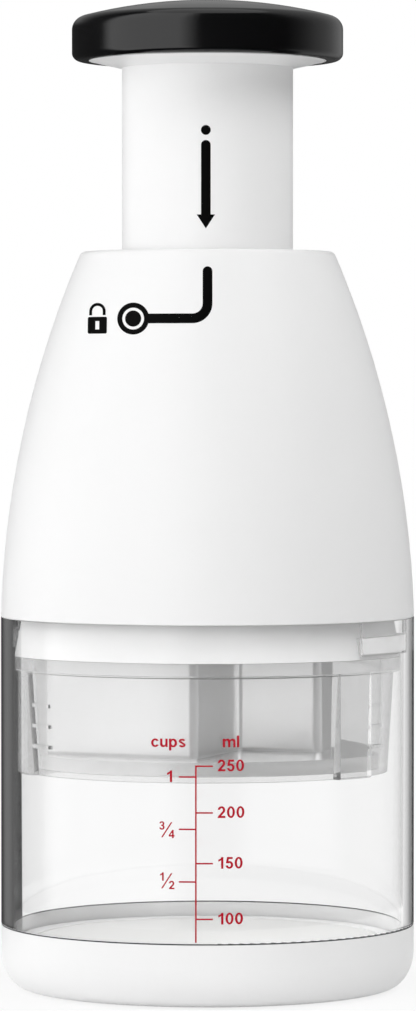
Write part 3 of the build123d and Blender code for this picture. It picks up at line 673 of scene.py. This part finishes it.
class CHOPPER_OT_edge_rings(bpy.types.Operator):
    """Near-black ring painted as the shade in the joint above the base, and bead under the guard's flange"""
    bl_idname = "chopper.edge_rings"
    bl_label = "Edge rings"

    joint_shade_inset = 0.06 * MM
    bead_inset = 0.05 * MM
    bead_gap = 0.005 * MM

    def execute(self, context):
        size = sizes()
        # Painted shade: a near-black ring in the joint between cup and base stands in for the shadow of that
        # gap.
        joint_shade_finish = moulded_finish(
            "lip_dark_rubber", colours().joint_shade_grey, roughness=0.7, cloudiness=0.1, grain=1100.0)
        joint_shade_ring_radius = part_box("base_cap")[1].x - self.joint_shade_inset - size.joint_shade_radius
        round_ring("seal_lip", joint_shade_ring_radius, size.joint_shade_radius, top_of("base_cap"), joint_shade_finish, "base")
        points = [vertex.co for vertex in NODES["blade_guard"].data.vertices]
        widest = max(point.xy.length for point in points)
        flange_foot = min(point.z for point in points if widest - point.xy.length < self.bead_inset)
        bead_ring = widest - self.bead_inset - size.bead_radius
        round_ring(
            "flange_bead", bead_ring, size.bead_radius, flange_foot - self.bead_gap - size.bead_radius,
            bpy.data.materials["guard_grey_clear"], "guard")
        return {"FINISHED"}


# Printed marks


def oval(x, z, wide, high, start=0, sweep=360, steps=16):
    """Points along an oval or part of one, angles in degrees; a whole oval doesn't repeat its first point."""
    count = steps if abs(sweep) == 360 else steps + 1
    angles = [math.radians(start + sweep * step / steps) for step in range(count)]
    return [(x + wide * math.cos(a), z + high * math.sin(a)) for a in angles]


def arc(centre, radius, start, sweep, steps=24):
    """Points along an arc, angles in degrees."""
    return oval(*centre, radius, radius, start, sweep, steps)


def rectangle(left, right, low, high):
    """Outline of an upright rectangle."""
    return [(left, low), (right, low), (right, high), (left, high)]


def pen_line(points, half):
    """Outline of a line drawn with a broad pen."""
    left, right = [], []
    for before, point, after in zip(points[:1] + points[:-1], points, points[1:] + points[-1:]):
        along = (Vector(after) - Vector(before)).normalized() * half
        left.append((point[0] - along.y, point[1] + along.x))
        right.append((point[0] + along.y, point[1] - along.x))
    return left + right[::-1]


def bold_figures():
    """Width and outlines of each bold figure and letter, in shares of a figure's height."""
    return {
        "0": (0.7, [oval(0.35, 0.5, 0.345, 0.51), oval(0.35, 0.5, 0.14, 0.345)]),
        "1": (0.56, [[
            (0.3, 0), (0.5, 0), (0.5, 1), (0.335, 1), (0.26, 0.87), (0.06, 0.775), (0.06, 0.6), (0.2, 0.655),
            (0.3, 0.73)]]),
        "2": (0.68, [
            oval(0.335, 0.685, 0.32, 0.325, 178, -216)
            + [(0.31, 0.18), (0.67, 0.18), (0.67, 0), (0, 0), (0.02, 0.1), (0.075, 0.19)]
            + oval(0.335, 0.685, 0.12, 0.155, -38, 210)]),
        "3": (0.66, [
            oval(0.33, 0.735, 0.295, 0.275, 175, -225) + oval(0.335, 0.3, 0.32, 0.31, 48, -220)
            + oval(0.335, 0.295, 0.12, 0.14, -172, 262) + [(0.25, 0.435), (0.25, 0.605)]
            + oval(0.33, 0.73, 0.1, 0.125, -90, 262)]),
        "4": (0.7, [
            [(0.395, 0), (0.59, 0), (0.59, 0.2), (0.7, 0.2), (0.7, 0.37), (0.59, 0.37), (0.59, 1), (0.42, 1),
             (0, 0.38), (0, 0.2), (0.395, 0.2)],
            [(0.395, 0.37), (0.395, 0.69), (0.18, 0.37)]]),
        "5": (0.67, [
            [(0.135, 1), (0.62, 1), (0.62, 0.82), (0.285, 0.82), (0.26, 0.65)]
            + oval(0.335, 0.325, 0.33, 0.335, 102, -272) + oval(0.335, 0.32, 0.125, 0.165, -168, 300)
            + [(0.2, 0.45), (0.035, 0.47)]]),
        "c": (0.66, [
            oval(0.35, 0.36, 0.35, 0.375, 30, 300) + oval(0.35, 0.36, 0.15, 0.21, -38, -284)]),
        "u": (0.65, [
            [(0, 0.725), (0.2, 0.725)] + oval(0.325, 0.31, 0.125, 0.15, 180, 180)
            + [(0.45, 0.725), (0.65, 0.725), (0.65, 0), (0.468, 0)]
            + oval(0.265, 0.25, 0.265, 0.262, -35, -145)]),
        "p": (0.7, [
            [(0, -0.28), (0.2, -0.28)] + oval(0.365, 0.36, 0.335, 0.377, -118, 236)
            + [(0.186, 0.63), (0.186, 0.725), (0, 0.725)],
            oval(0.345, 0.36, 0.14, 0.21)]),
        "s": (0.62, [pen_line(
            oval(0.305, 0.535, 0.2, 0.112, 12, 233) + oval(0.315, 0.19, 0.21, 0.115, 65, -233), 0.084)]),
        "m": (1.09, [
            [(0, 0), (0, 0.725), (0.185, 0.725)] + oval(0.4, 0.49, 0.235, 0.25, 138, -98)
            + oval(0.845, 0.49, 0.245, 0.25, 140, -140) + [(1.09, 0), (0.89, 0)]
            + oval(0.7675, 0.43, 0.1225, 0.14, 0, 180) + [(0.645, 0), (0.445, 0)]
            + oval(0.3225, 0.43, 0.1225, 0.14, 0, 180) + [(0.2, 0)]]),
        "l": (0.2, [rectangle(0, 0.2, 0, 1)]),
    }


def flat_print(name, outlines):
    """Flat shape standing in the XZ plane, bounded by closed outlines."""
    curve = bpy.data.curves.new(name, "CURVE")
    curve.dimensions = "2D"
    curve.fill_mode = "BOTH"
    for outline in outlines:
        spline = curve.splines.new("POLY")
        spline.points.add(len(outline) - 1)
        for point, (x, z) in zip(spline.points, outline):
            point.co = (x, z, 0, 1)
        spline.use_cyclic_u = True
    shape = bpy.data.objects.new(name, curve)
    bpy.context.scene.collection.objects.link(shape)
    shape.rotation_euler = (math.pi / 2, 0, 0)
    pick(shape)
    bpy.ops.object.convert(target="MESH")
    return bpy.context.active_object


def flat_text(body, x, z, height, side, gap_share=0.11):
    """Flat lettering that stands in the XZ plane: from x (side 0), about x (0.5) or up to x (1)."""
    figures = bold_figures()
    length = sum(figures[sign][0] for sign in body) + gap_share * (len(body) - 1)
    start = x - side * length * height
    outlines = []
    for sign in body:
        width, shapes = figures[sign]
        outlines += [[(start + height * px, z + height * pz) for px, pz in shape] for shape in shapes]
        start += (width + gap_share) * height
    return flat_print("text_" + body, outlines)


def lay_on(piece, node, body, finish, cuts=3, start_share=1.2):
    """Lay a flat shape on a node's front as a thin layer of ink that rides on its body."""
    piece.location.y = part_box(node)[0].y * start_share
    pick(piece)
    bpy.ops.object.transform_apply(location=True, rotation=True, scale=True)
    edit_all(
        piece,
        lambda: bpy.ops.mesh.remove_doubles(threshold=0.001 * MM),
        lambda: bpy.ops.mesh.subdivide(number_cuts=cuts))
    wrap = piece.modifiers.new("wrap", "SHRINKWRAP")
    wrap.target = NODES[node]
    wrap.wrap_method = "PROJECT"
    wrap.use_project_y = True
    wrap.use_positive_direction = True
    wrap.use_negative_direction = False
    wrap.wrap_mode = "ABOVE_SURFACE"
    wrap.offset = sizes().print_gap
    ink = piece.modifiers.new("ink", "SOLIDIFY")
    ink.thickness = sizes().print_thickness
    ink.offset = 1.0
    settle(piece)
    piece.data.materials.clear()
    piece.data.materials.append(finish)
    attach(piece, body)
    return piece


def ink_finish(name, colour, gloss_level=0.04):
    """Printed ink with a slightly broken surface."""
    known = bpy.data.materials.get(name)
    if known:
        return known
    finish = moulded_finish(
        name, colour, roughness=0.5, cloudiness=0.1, gloss_spread=0.15, grain=3200.0, depth=0.01 * MM)
    node_of(finish.node_tree, "BSDF_PRINCIPLED").inputs["Specular IOR Level"].default_value = gloss_level
    return finish


class CHOPPER_OT_press_arrow(bpy.types.Operator):
    """Dot and arrow printed on the plunger tube"""
    bl_idname = "chopper.press_arrow"
    bl_label = "Press arrow"

    aside = -0.36 * MM
    tip_drop = 49.98 * MM
    dot_rise = 21.05 * MM
    dot_radius = 1.05 * MM

    def execute(self, context):
        size = sizes()
        tip = top_of("palm_cap") - self.tip_drop
        half = size.arrow_width / 2
        neck = tip + size.arrow_head_length
        crown = arc((self.aside, tip + size.arrow_length - half), half, 0, 180)
        head = [
            (self.aside - half, neck),
            (self.aside - size.arrow_head_width / 2, neck),
            (self.aside, tip),
            (self.aside + size.arrow_head_width / 2, neck),
            (self.aside + half, neck),
        ]
        dot = arc((self.aside, tip + self.dot_rise), self.dot_radius, 0, 360)
        shape = flat_print("press_arrow", [crown + head, dot])
        lay_on(shape, "plunger_tube", "plunger", ink_finish("ink_black", colours().print_black))
        return {"FINISHED"}


class CHOPPER_OT_lock_marks(bpy.types.Operator):
    """Lock track, ring and padlock printed on the bell"""
    bl_idname = "chopper.lock_marks"
    bl_label = "Lock marks"

    track_drop = 3.84 * MM
    run_drop = 14.9 * MM
    bend_radius = 3.2 * MM
    ring_aside = -15.75 * MM
    gap_share = 0.685
    dot_share = 0.505
    lock_aside = -23.46 * MM
    lock_height = 3.6 * MM
    lock_rise = -3.15 * MM
    lock_corner = 0.35 * MM
    shackle_gap = 0.35 * MM
    shackle_width = 0.62 * MM
    shackle_radius = 1.78 * MM
    shackle_leg = 0.85 * MM
    keyhole_width = 0.85 * MM
    keyhole_height = 1.8 * MM

    def track(self, run):
        """Outline of the track, from its round upper end down, round the bend and along to the ring."""
        half = sizes().track_width / 2
        top = top_of("bell_housing") - self.track_drop - half
        bend = (-self.bend_radius, run + self.bend_radius)
        ring = sizes().ring_radius
        meet = self.ring_aside + math.sqrt(ring * ring - half * half)
        outer = arc(bend, self.bend_radius + half, 0, -90)
        inner = arc(bend, self.bend_radius - half, -90, 90)
        return arc((0, top), half, 180, -180) + outer + [(meet, run - half), (meet, run + half)] + inner

    def padlock(self, run):
        """Outlines of the padlock's body, its keyhole and its shackle."""
        x, low, half = self.lock_aside, run + self.lock_rise, sizes().padlock_width / 2
        high = low + self.lock_height
        corner = self.lock_corner
        body = []
        for sx, sz, start in ((1, -1, -90), (1, 1, 0), (-1, 1, 90), (-1, -1, 180)):
            centre = (x + sx * (half - corner), (high if sz > 0 else low) - sz * corner)
            body += arc(centre, corner, start, 90, steps=6)
        middle = (low + high) / 2
        keyhole = rectangle(
            x - self.keyhole_width / 2, x + self.keyhole_width / 2,
            middle - self.keyhole_height / 2, middle + self.keyhole_height / 2)
        foot = high + self.shackle_gap
        spring = foot + self.shackle_leg
        outer = arc((x, spring), self.shackle_radius, 0, 180)
        inner = arc((x, spring), self.shackle_radius - self.shackle_width, 180, -180)
        shackle = (
            [(x + self.shackle_radius, foot)] + outer + [(x - self.shackle_radius, foot)]
            + [(x - self.shackle_radius + self.shackle_width, foot)] + inner
            + [(x + self.shackle_radius - self.shackle_width, foot)])
        return [body, keyhole, shackle]

    def execute(self, context):
        run = top_of("bell_housing") - self.run_drop
        ring = sizes().ring_radius
        centre = (self.ring_aside, run)
        circles = [arc(centre, ring * share, 0, 360, steps=48)
                   for share in (1.0, self.gap_share, self.dot_share)]
        shape = flat_print("lock_marks", [self.track(run)])
        target = flat_print("lock_ring", circles)
        padlock = flat_print("lock_padlock", self.padlock(run))
        whole = joined([shape, target, padlock], "lock_marks")
        lay_on(whole, "bell_housing", "top", ink_finish("ink_black", colours().print_black), cuts=5)
        return {"FINISHED"}


class CHOPPER_OT_cup_scale(bpy.types.Operator):
    """Red measuring scale printed on the cup"""
    bl_idname = "chopper.cup_scale"
    bl_label = "Cup scale"

    line_aside = -2.44 * MM
    line_foot_rise = 0.5 * MM
    volume_marks = (("250", 37.5 * MM), ("200", 27.72 * MM), ("150", 17.09 * MM), ("100", 5.4 * MM))
    cup_marks = (("1", 35.23 * MM, 0.0), ("3/4", 24.26 * MM, -0.13 * MM), ("1/2", 13.23 * MM, 0.2 * MM))
    tick_length = 3.4 * MM
    digit_gap = 0.98 * MM
    digit_drop = 1.07 * MM
    whole_gap = 1.25 * MM
    upper_aside = 3.55 * MM
    lower_aside = 1.5 * MM
    lower_drop = 1.75 * MM
    bar_reach = 1.6 * MM
    bar_slant = 1.02 * MM
    units = (("cups", -5.75 * MM), ("ml", 7.35 * MM))
    unit_rise = 41.46 * MM

    def fraction(self, body, x, z, shift):
        """A number, or a small fraction with a slanted bar, beside the end of a tick."""
        size = sizes()
        if "/" not in body:
            return [flat_text(body, x - self.whole_gap, z - self.digit_drop, size.digit_height, 1)]
        upper, lower = body.split("/")
        half = size.scale_line / 2
        middle = x - (self.upper_aside + self.lower_aside) / 2
        low, high = z + shift - self.bar_reach, z + shift + self.bar_reach
        bar = [
            (middle - self.bar_slant - half, low), (middle - self.bar_slant + half, low),
            (middle + self.bar_slant + half, high), (middle + self.bar_slant - half, high)]
        return [
            flat_text(upper, x - self.upper_aside, z + shift, size.fraction_height, 0.5),
            flat_print("fraction_bar", [bar]),
            flat_text(lower, x - self.lower_aside, z + shift - self.lower_drop, size.fraction_height, 0.5)]

    def execute(self, context):
        size = sizes()
        rim = top_of("base_cap")
        half = size.scale_line / 2
        line_right = self.line_aside + half
        line_left = self.line_aside - half
        highest = rim + self.volume_marks[0][1] + half
        pieces = [flat_print(
            "scale_line", [rectangle(line_left, line_right, rim + self.line_foot_rise, highest)])]
        for body, rise in self.volume_marks:
            z = rim + rise
            right = line_right + self.tick_length
            pieces.append(flat_print("tick", [rectangle(line_right, right, z - half, z + half)]))
            pieces.append(flat_text(body, right + self.digit_gap, z - self.digit_drop, size.digit_height, 0))
        for body, rise, shift in self.cup_marks:
            z = rim + rise
            left = line_left - self.tick_length
            pieces.append(flat_print("tick", [rectangle(left, line_left, z - half, z + half)]))
            pieces += self.fraction(body, left, z, shift)
        for body, aside in self.units:
            pieces.append(flat_text(
                body, self.line_aside + aside, rim + self.unit_rise, size.digit_height, 0.5))
        whole = joined(pieces, "cup_scale")
        lay_on(whole, "measuring_cup", "cup", ink_finish("ink_red", colours().scale_red), cuts=2)
        return {"FINISHED"}


# Studio


def add_lamp(name, place, aim, width, height, power):
    """Soft rectangular lamp that looks at a point and isn't seen or reflected."""
    deselect_all()
    bpy.ops.object.light_add(type="AREA", location=place)
    lamp = bpy.context.active_object
    lamp.name = name
    lamp.data.shape = "RECTANGLE"
    lamp.data.size = width
    lamp.data.size_y = height
    lamp.data.energy = power
    lamp.rotation_euler = (Vector(aim) - Vector(place)).to_track_quat("-Z", "Y").to_euler()
    lamp.visible_camera = False
    lamp.visible_glossy = False


def add_wall(name, radius, height, finish):
    """Round wall about the set that isn't seen directly and throws no shadow."""
    deselect_all()
    bpy.ops.mesh.primitive_cylinder_add(
        vertices=180, radius=radius, depth=height, location=(0, 0, height / 2), end_fill_type="NOTHING")
    wall = bpy.context.active_object
    wall.name = name
    settle(wall)
    wall.data.materials.append(finish)
    wall.visible_camera = False
    wall.visible_diffuse = False
    wall.visible_shadow = False
    return wall


def add_edge_arc(name, side, least_length, levels, radius=110.0 * MM, height=0.1):
    """Half round dark wall that shows only at the edges of the clear cup, where light leaves aslant."""
    wall = add_wall(name, radius, height, edge_finish(name, least_length, levels))
    edit_all(wall, lambda: bpy.ops.mesh.bisect(plane_co=(0, 0, 0), plane_no=(side, 0, 0), clear_outer=True))


def level_ramp(tree, share, levels):
    """Level that follows a share, from pairs of share and level."""
    ramp = add_node(tree, "ShaderNodeValToRGB", Fac=share)
    brightest = max(level for position, level in levels)
    stops = ramp.color_ramp.elements
    for position, level in levels:
        ends = [stop for stop in stops if abs(stop.position - position) < 1e-6]
        stop = ends[0] if ends else stops.new(position)
        stop.color = (level / brightest, level / brightest, level / brightest, 1.0)
    return add_math(tree, "MULTIPLY", ramp.outputs["Color"], brightest)


def blend_levels(tree, share, first, second):
    """First level where the share is 0, second level where it is 1."""
    change = add_math(tree, "SUBTRACT", second, first)
    return add_math(tree, "ADD", first, add_math(tree, "MULTIPLY", share, change))


def glow_where(tree, seen, level):
    """Finish the tree: glow where it is seen, and open for all other light."""
    glow = add_node(tree, "ShaderNodeEmission", Color=WHITE, Strength=level)
    open_way = add_node(tree, "ShaderNodeBsdfTransparent", Color=WHITE)
    mix_shaders(tree, seen, open_way, glow, tree.nodes.new("ShaderNodeOutputMaterial"))


def screen_finish(name, levels, upper_levels, inside_levels, folded_levels, wall_level, turn_low, turn_high):
    """Glow by heading for reflected light: low, high up, and reflected once or more behind a clear wall."""
    finish, tree = empty_finish(name)
    place = tree.nodes.new("ShaderNodeTexCoord").outputs["Object"]
    apart = add_node(tree, "ShaderNodeSeparateXYZ", Vector=place)
    forward = add_math(tree, "MULTIPLY", apart.outputs["Y"], -1.0)
    heading = add_math(tree, "ARCTAN2", apart.outputs["X"], forward)
    share = add_node(
        tree, "ShaderNodeMapRange", Value=heading, From_Min=-math.pi, From_Max=math.pi).outputs[0]
    lower, upper, inside, folded = (
        level_ramp(tree, share, [((degrees + 180) / 360, level) for degrees, level in table])
        for table in (levels, upper_levels, inside_levels, folded_levels))
    high = add_node(
        tree, "ShaderNodeMapRange", Value=apart.outputs["Z"], From_Min=turn_low,
        From_Max=turn_high).outputs[0]
    outside = blend_levels(tree, high, lower, upper)
    path = tree.nodes.new("ShaderNodeLightPath")
    through = add_math(tree, "GREATER_THAN", path.outputs["Transmission Depth"], 0.5)
    reflected = add_math(tree, "GREATER_THAN", path.outputs["Glossy Depth"], 0.5)
    again = add_math(tree, "GREATER_THAN", path.outputs["Glossy Depth"], 1.5)
    within = blend_levels(tree, again, inside, folded)
    one_wall = add_math(tree, "LESS_THAN", path.outputs["Transmission Depth"], 2.5)
    clear = blend_levels(tree, one_wall, within, wall_level)
    glow_where(tree, reflected, blend_levels(tree, through, outside, clear))
    return finish


def edge_finish(name, least_length, levels, most_length=100.4 * MM, slack=3.0 * MM, most_faces=4):
    """Greys for light that comes far from the edge of the clear cup's wall, but not from across its inside."""
    finish, tree = empty_finish(name)
    path = tree.nodes.new("ShaderNodeLightPath")
    far = add_math(tree, "GREATER_THAN", path.outputs["Ray Length"], least_length)
    near = add_math(tree, "LESS_THAN", path.outputs["Ray Length"], most_length + slack)
    bent = add_math(tree, "MAXIMUM", path.outputs["Is Transmission Ray"], path.outputs["Is Glossy Ray"])
    one_wall = add_math(tree, "LESS_THAN", path.outputs["Transmission Depth"], most_faces + 0.5)
    from_edge = add_math(tree, "MULTIPLY", far, near)
    seen = add_math(tree, "MULTIPLY", add_math(tree, "MULTIPLY", from_edge, bent), one_wall)
    share = add_node(
        tree, "ShaderNodeMapRange", Value=path.outputs["Ray Length"], From_Min=least_length,
        From_Max=most_length)
    glow_where(tree, seen, level_ramp(tree, share.outputs[0], levels))
    return finish


def seen_directly(tree):
    """1 where a ray comes from the camera, a reflection or through something clear."""
    path = tree.nodes.new("ShaderNodeLightPath")
    direct = add_math(tree, "MAXIMUM", path.outputs["Is Camera Ray"], path.outputs["Is Glossy Ray"])
    return add_math(tree, "MAXIMUM", direct, path.outputs["Is Transmission Ray"])


def floor_finish(grey, white_share, shadow_reach, mirror_reach):
    """White floor with a soft shadow near the chopper that fades out, and dark in reflections high up."""
    finish, tree = empty_finish("floor_white")
    path = tree.nodes.new("ShaderNodeLightPath")
    high_up = add_math(tree, "GREATER_THAN", path.outputs["Ray Length"], mirror_reach)
    reflected = add_math(
        tree, "GREATER_THAN", path.outputs["Glossy Depth"], path.outputs["Transmission Depth"])
    bright = add_math(tree, "SUBTRACT", 1.0, add_math(tree, "MULTIPLY", reflected, high_up))
    lit = add_node(tree, "ShaderNodeBsdfDiffuse", Color=(grey, grey, grey, 1.0))
    white = add_node(tree, "ShaderNodeEmission", Color=WHITE, Strength=bright)
    place = tree.nodes.new("ShaderNodeTexCoord").outputs["Object"]
    far = tree.nodes.new("ShaderNodeVectorMath")
    far.operation = "LENGTH"
    tree.links.new(place, far.inputs[0])
    fade = add_node(
        tree, "ShaderNodeMapRange", Value=far.outputs["Value"], From_Min=0.0, From_Max=shadow_reach,
        To_Min=white_share, To_Max=1.0)
    share = add_math(tree, "MULTIPLY", seen_directly(tree), fade.outputs[0])
    mix_shaders(tree, share, lit, white, tree.nodes.new("ShaderNodeOutputMaterial"))
    return finish


def white_world(sky):
    """World that is white where it is seen, and a softer light from all round."""
    world = bpy.data.worlds.new("studio_white")
    bpy.context.scene.world = world
    world.use_nodes = True
    tree = world.node_tree
    tree.nodes.clear()
    soft = add_node(tree, "ShaderNodeBackground", Color=WHITE, Strength=sky)
    white = add_node(tree, "ShaderNodeBackground", Color=WHITE, Strength=1.0)
    mix_shaders(tree, seen_directly(tree), soft, white, tree.nodes.new("ShaderNodeOutputWorld"))


class CHOPPER_OT_stage(bpy.types.Operator):
    """White floor and sky, soft lamps, reflection screen, dark edge walls and the camera"""
    bl_idname = "chopper.stage"
    bl_label = "Studio stage"

    lamps = (
        ("key", (-0.52, -0.79, 0.26), 1.5, 0.6),
        ("left", (-0.85, 0.42, 0.32), 0.6, 0.8),
        ("upper", (-0.55, -0.6, 0.95), 1.2, 0.8),
        ("fill", (0.6, -0.45, 0.95), 0.6, 0.6),
        ("right", (0.75, 0.4, 0.9), 0.6, 0.6),
    )
    lamp_aim = (0, 0, 0.12)
    floor_size = 8.0
    floor_grey = 0.88
    floor_white = 0.75
    camera_frame = 36.0
    shadow_reach = 0.14
    mirror_reach = 0.195
    left_edge_length = 83.0 * MM
    right_edge_length = 87.5 * MM
    left_edge_levels = (
        (0.0, 0.02), (0.1, 0.045), (0.2, 0.105), (0.3, 0.145), (0.4, 0.17), (0.5, 0.165), (0.58, 0.14),
        (0.68, 0.08), (0.75, 0.055), (1.0, 0.055))
    right_edge_levels = (
        (0.0, 0.85), (0.06, 0.76), (0.17, 0.63), (0.32, 0.41), (0.45, 0.29), (0.5, 0.18), (0.56, 0.065),
        (0.65, 0.03), (1.0, 0.03))
    screen_radius = 0.2
    screen_height = 0.6
    screen_turn = (0.235, 0.265)
    wall_level = 0.76
    screen_levels = (
        (-180, 0.05), (-165, 0.03), (-94, 0.05), (-84, 1.45), (-45, 1.5), (-22, 1.5), (-6, 0.03),
        (66, 0.0), (80, 0.15), (98, 0.42), (130, 0.5), (147, 0.4), (162, 0.1), (180, 0.05))
    upper_levels = (
        (-180, 0.36), (-145, 0.3), (-115, 0.05), (-94, 0.05), (-84, 1.45), (-45, 1.5), (-22, 1.5), (-6, 0.03),
        (66, 0.0), (80, 0.15), (98, 0.42), (130, 0.45), (150, 0.36), (180, 0.36))
    inside_levels = (
        (-180, 1.0), (-105, 1.0), (-85, 1.45), (-32, 1.45), (-16, 0.7), (60, 0.75), (80, 0.9),
        (125, 0.9), (138, 0.46), (166, 0.46), (180, 1.0))
    folded_levels = (
        (-180, 1.0), (-105, 1.0), (-85, 1.45), (-32, 1.45), (-16, 0.7), (4, 0.7), (14, 2.3), (60, 2.3),
        (80, 1.0), (125, 0.9), (138, 0.46), (166, 0.46), (180, 1.0))

    def execute(self, context):
        scene = context.scene
        scene.view_settings.view_transform = "Standard"
        light = studio()
        white_world(light.sky)
        deselect_all()
        bpy.ops.mesh.primitive_plane_add(size=self.floor_size, location=(0, 0, 0))
        floor = bpy.context.active_object
        floor.name = "studio_floor"
        floor.data.materials.append(
            floor_finish(self.floor_grey, self.floor_white, self.shadow_reach, self.mirror_reach))
        for name, place, width, height in self.lamps:
            add_lamp(name + "_lamp", place, self.lamp_aim, width, height, getattr(light, name))
        glow = screen_finish(
            "reflection_screen", self.screen_levels, self.upper_levels, self.inside_levels,
            self.folded_levels, self.wall_level, *self.screen_turn)
        add_wall("reflection_screen", self.screen_radius, self.screen_height, glow)
        add_edge_arc("left_edge_arc", 1, self.left_edge_length, self.left_edge_levels)
        add_edge_arc("right_edge_arc", -1, self.right_edge_length, self.right_edge_levels)
        bpy.ops.object.camera_add(
            location=(light.camera_aside, -light.camera_distance, light.camera_height),
            rotation=(math.pi / 2 - light.camera_pitch, 0, 0))
        camera = bpy.context.active_object
        camera.data.sensor_fit = "VERTICAL"
        camera.data.sensor_height = self.camera_frame
        camera.data.sensor_width = self.camera_frame
        camera.data.lens = light.lens
        scene.camera = camera
        return {"FINISHED"}


OPERATORS = (
    CHOPPER_OT_white_mouldings,
    CHOPPER_OT_palm_cap,
    CHOPPER_OT_clear_mouldings,
    CHOPPER_OT_steel_parts,
    CHOPPER_OT_inner_drive,
    CHOPPER_OT_return_coil,
    CHOPPER_OT_edge_rings,
    CHOPPER_OT_press_arrow,
    CHOPPER_OT_lock_marks,
    CHOPPER_OT_cup_scale,
    CHOPPER_OT_stage,
)


class CHOPPER_PT_sidebar(bpy.types.Panel):
    """Sizes, colours, studio and steps of the chopper"""
    bl_idname = "CHOPPER_PT_sidebar"
    bl_label = "Palm-press chopper"
    bl_space_type = "VIEW_3D"
    bl_region_type = "UI"
    bl_category = "Chopper"

    def draw(self, context):
        for settings in (sizes(), colours(), studio()):
            box = self.layout.box()
            for name in settings.__annotations__:
                box.prop(settings, name)
        for operator in OPERATORS:
            self.layout.operator(operator.bl_idname)


CLASSES = (ChopperSizes, ChopperColours, ChopperStudio, *OPERATORS, CHOPPER_PT_sidebar)


def register():
    """Add the classes and their settings to Blender."""
    for cls in CLASSES:
        bpy.utils.register_class(cls)
    bpy.types.Scene.chopper_sizes = bpy.props.PointerProperty(type=ChopperSizes)
    bpy.types.Scene.chopper_colours = bpy.props.PointerProperty(type=ChopperColours)
    bpy.types.Scene.chopper_studio = bpy.props.PointerProperty(type=ChopperStudio)


def unregister():
    """Take the classes and their settings out of Blender."""
    del bpy.types.Scene.chopper_studio
    del bpy.types.Scene.chopper_colours
    del bpy.types.Scene.chopper_sizes
    for cls in reversed(CLASSES):
        bpy.utils.unregister_class(cls)


def main():
    """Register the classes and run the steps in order."""
    register()
    bpy.ops.chopper.white_mouldings()
    bpy.ops.chopper.palm_cap()
    bpy.ops.chopper.clear_mouldings()
    bpy.ops.chopper.steel_parts()
    bpy.ops.chopper.inner_drive()
    bpy.ops.chopper.return_coil()
    bpy.ops.chopper.edge_rings()
    bpy.ops.chopper.press_arrow()
    bpy.ops.chopper.lock_marks()
    bpy.ops.chopper.cup_scale()
    bpy.ops.chopper.stage()


if __name__ == "__main__":
    main()
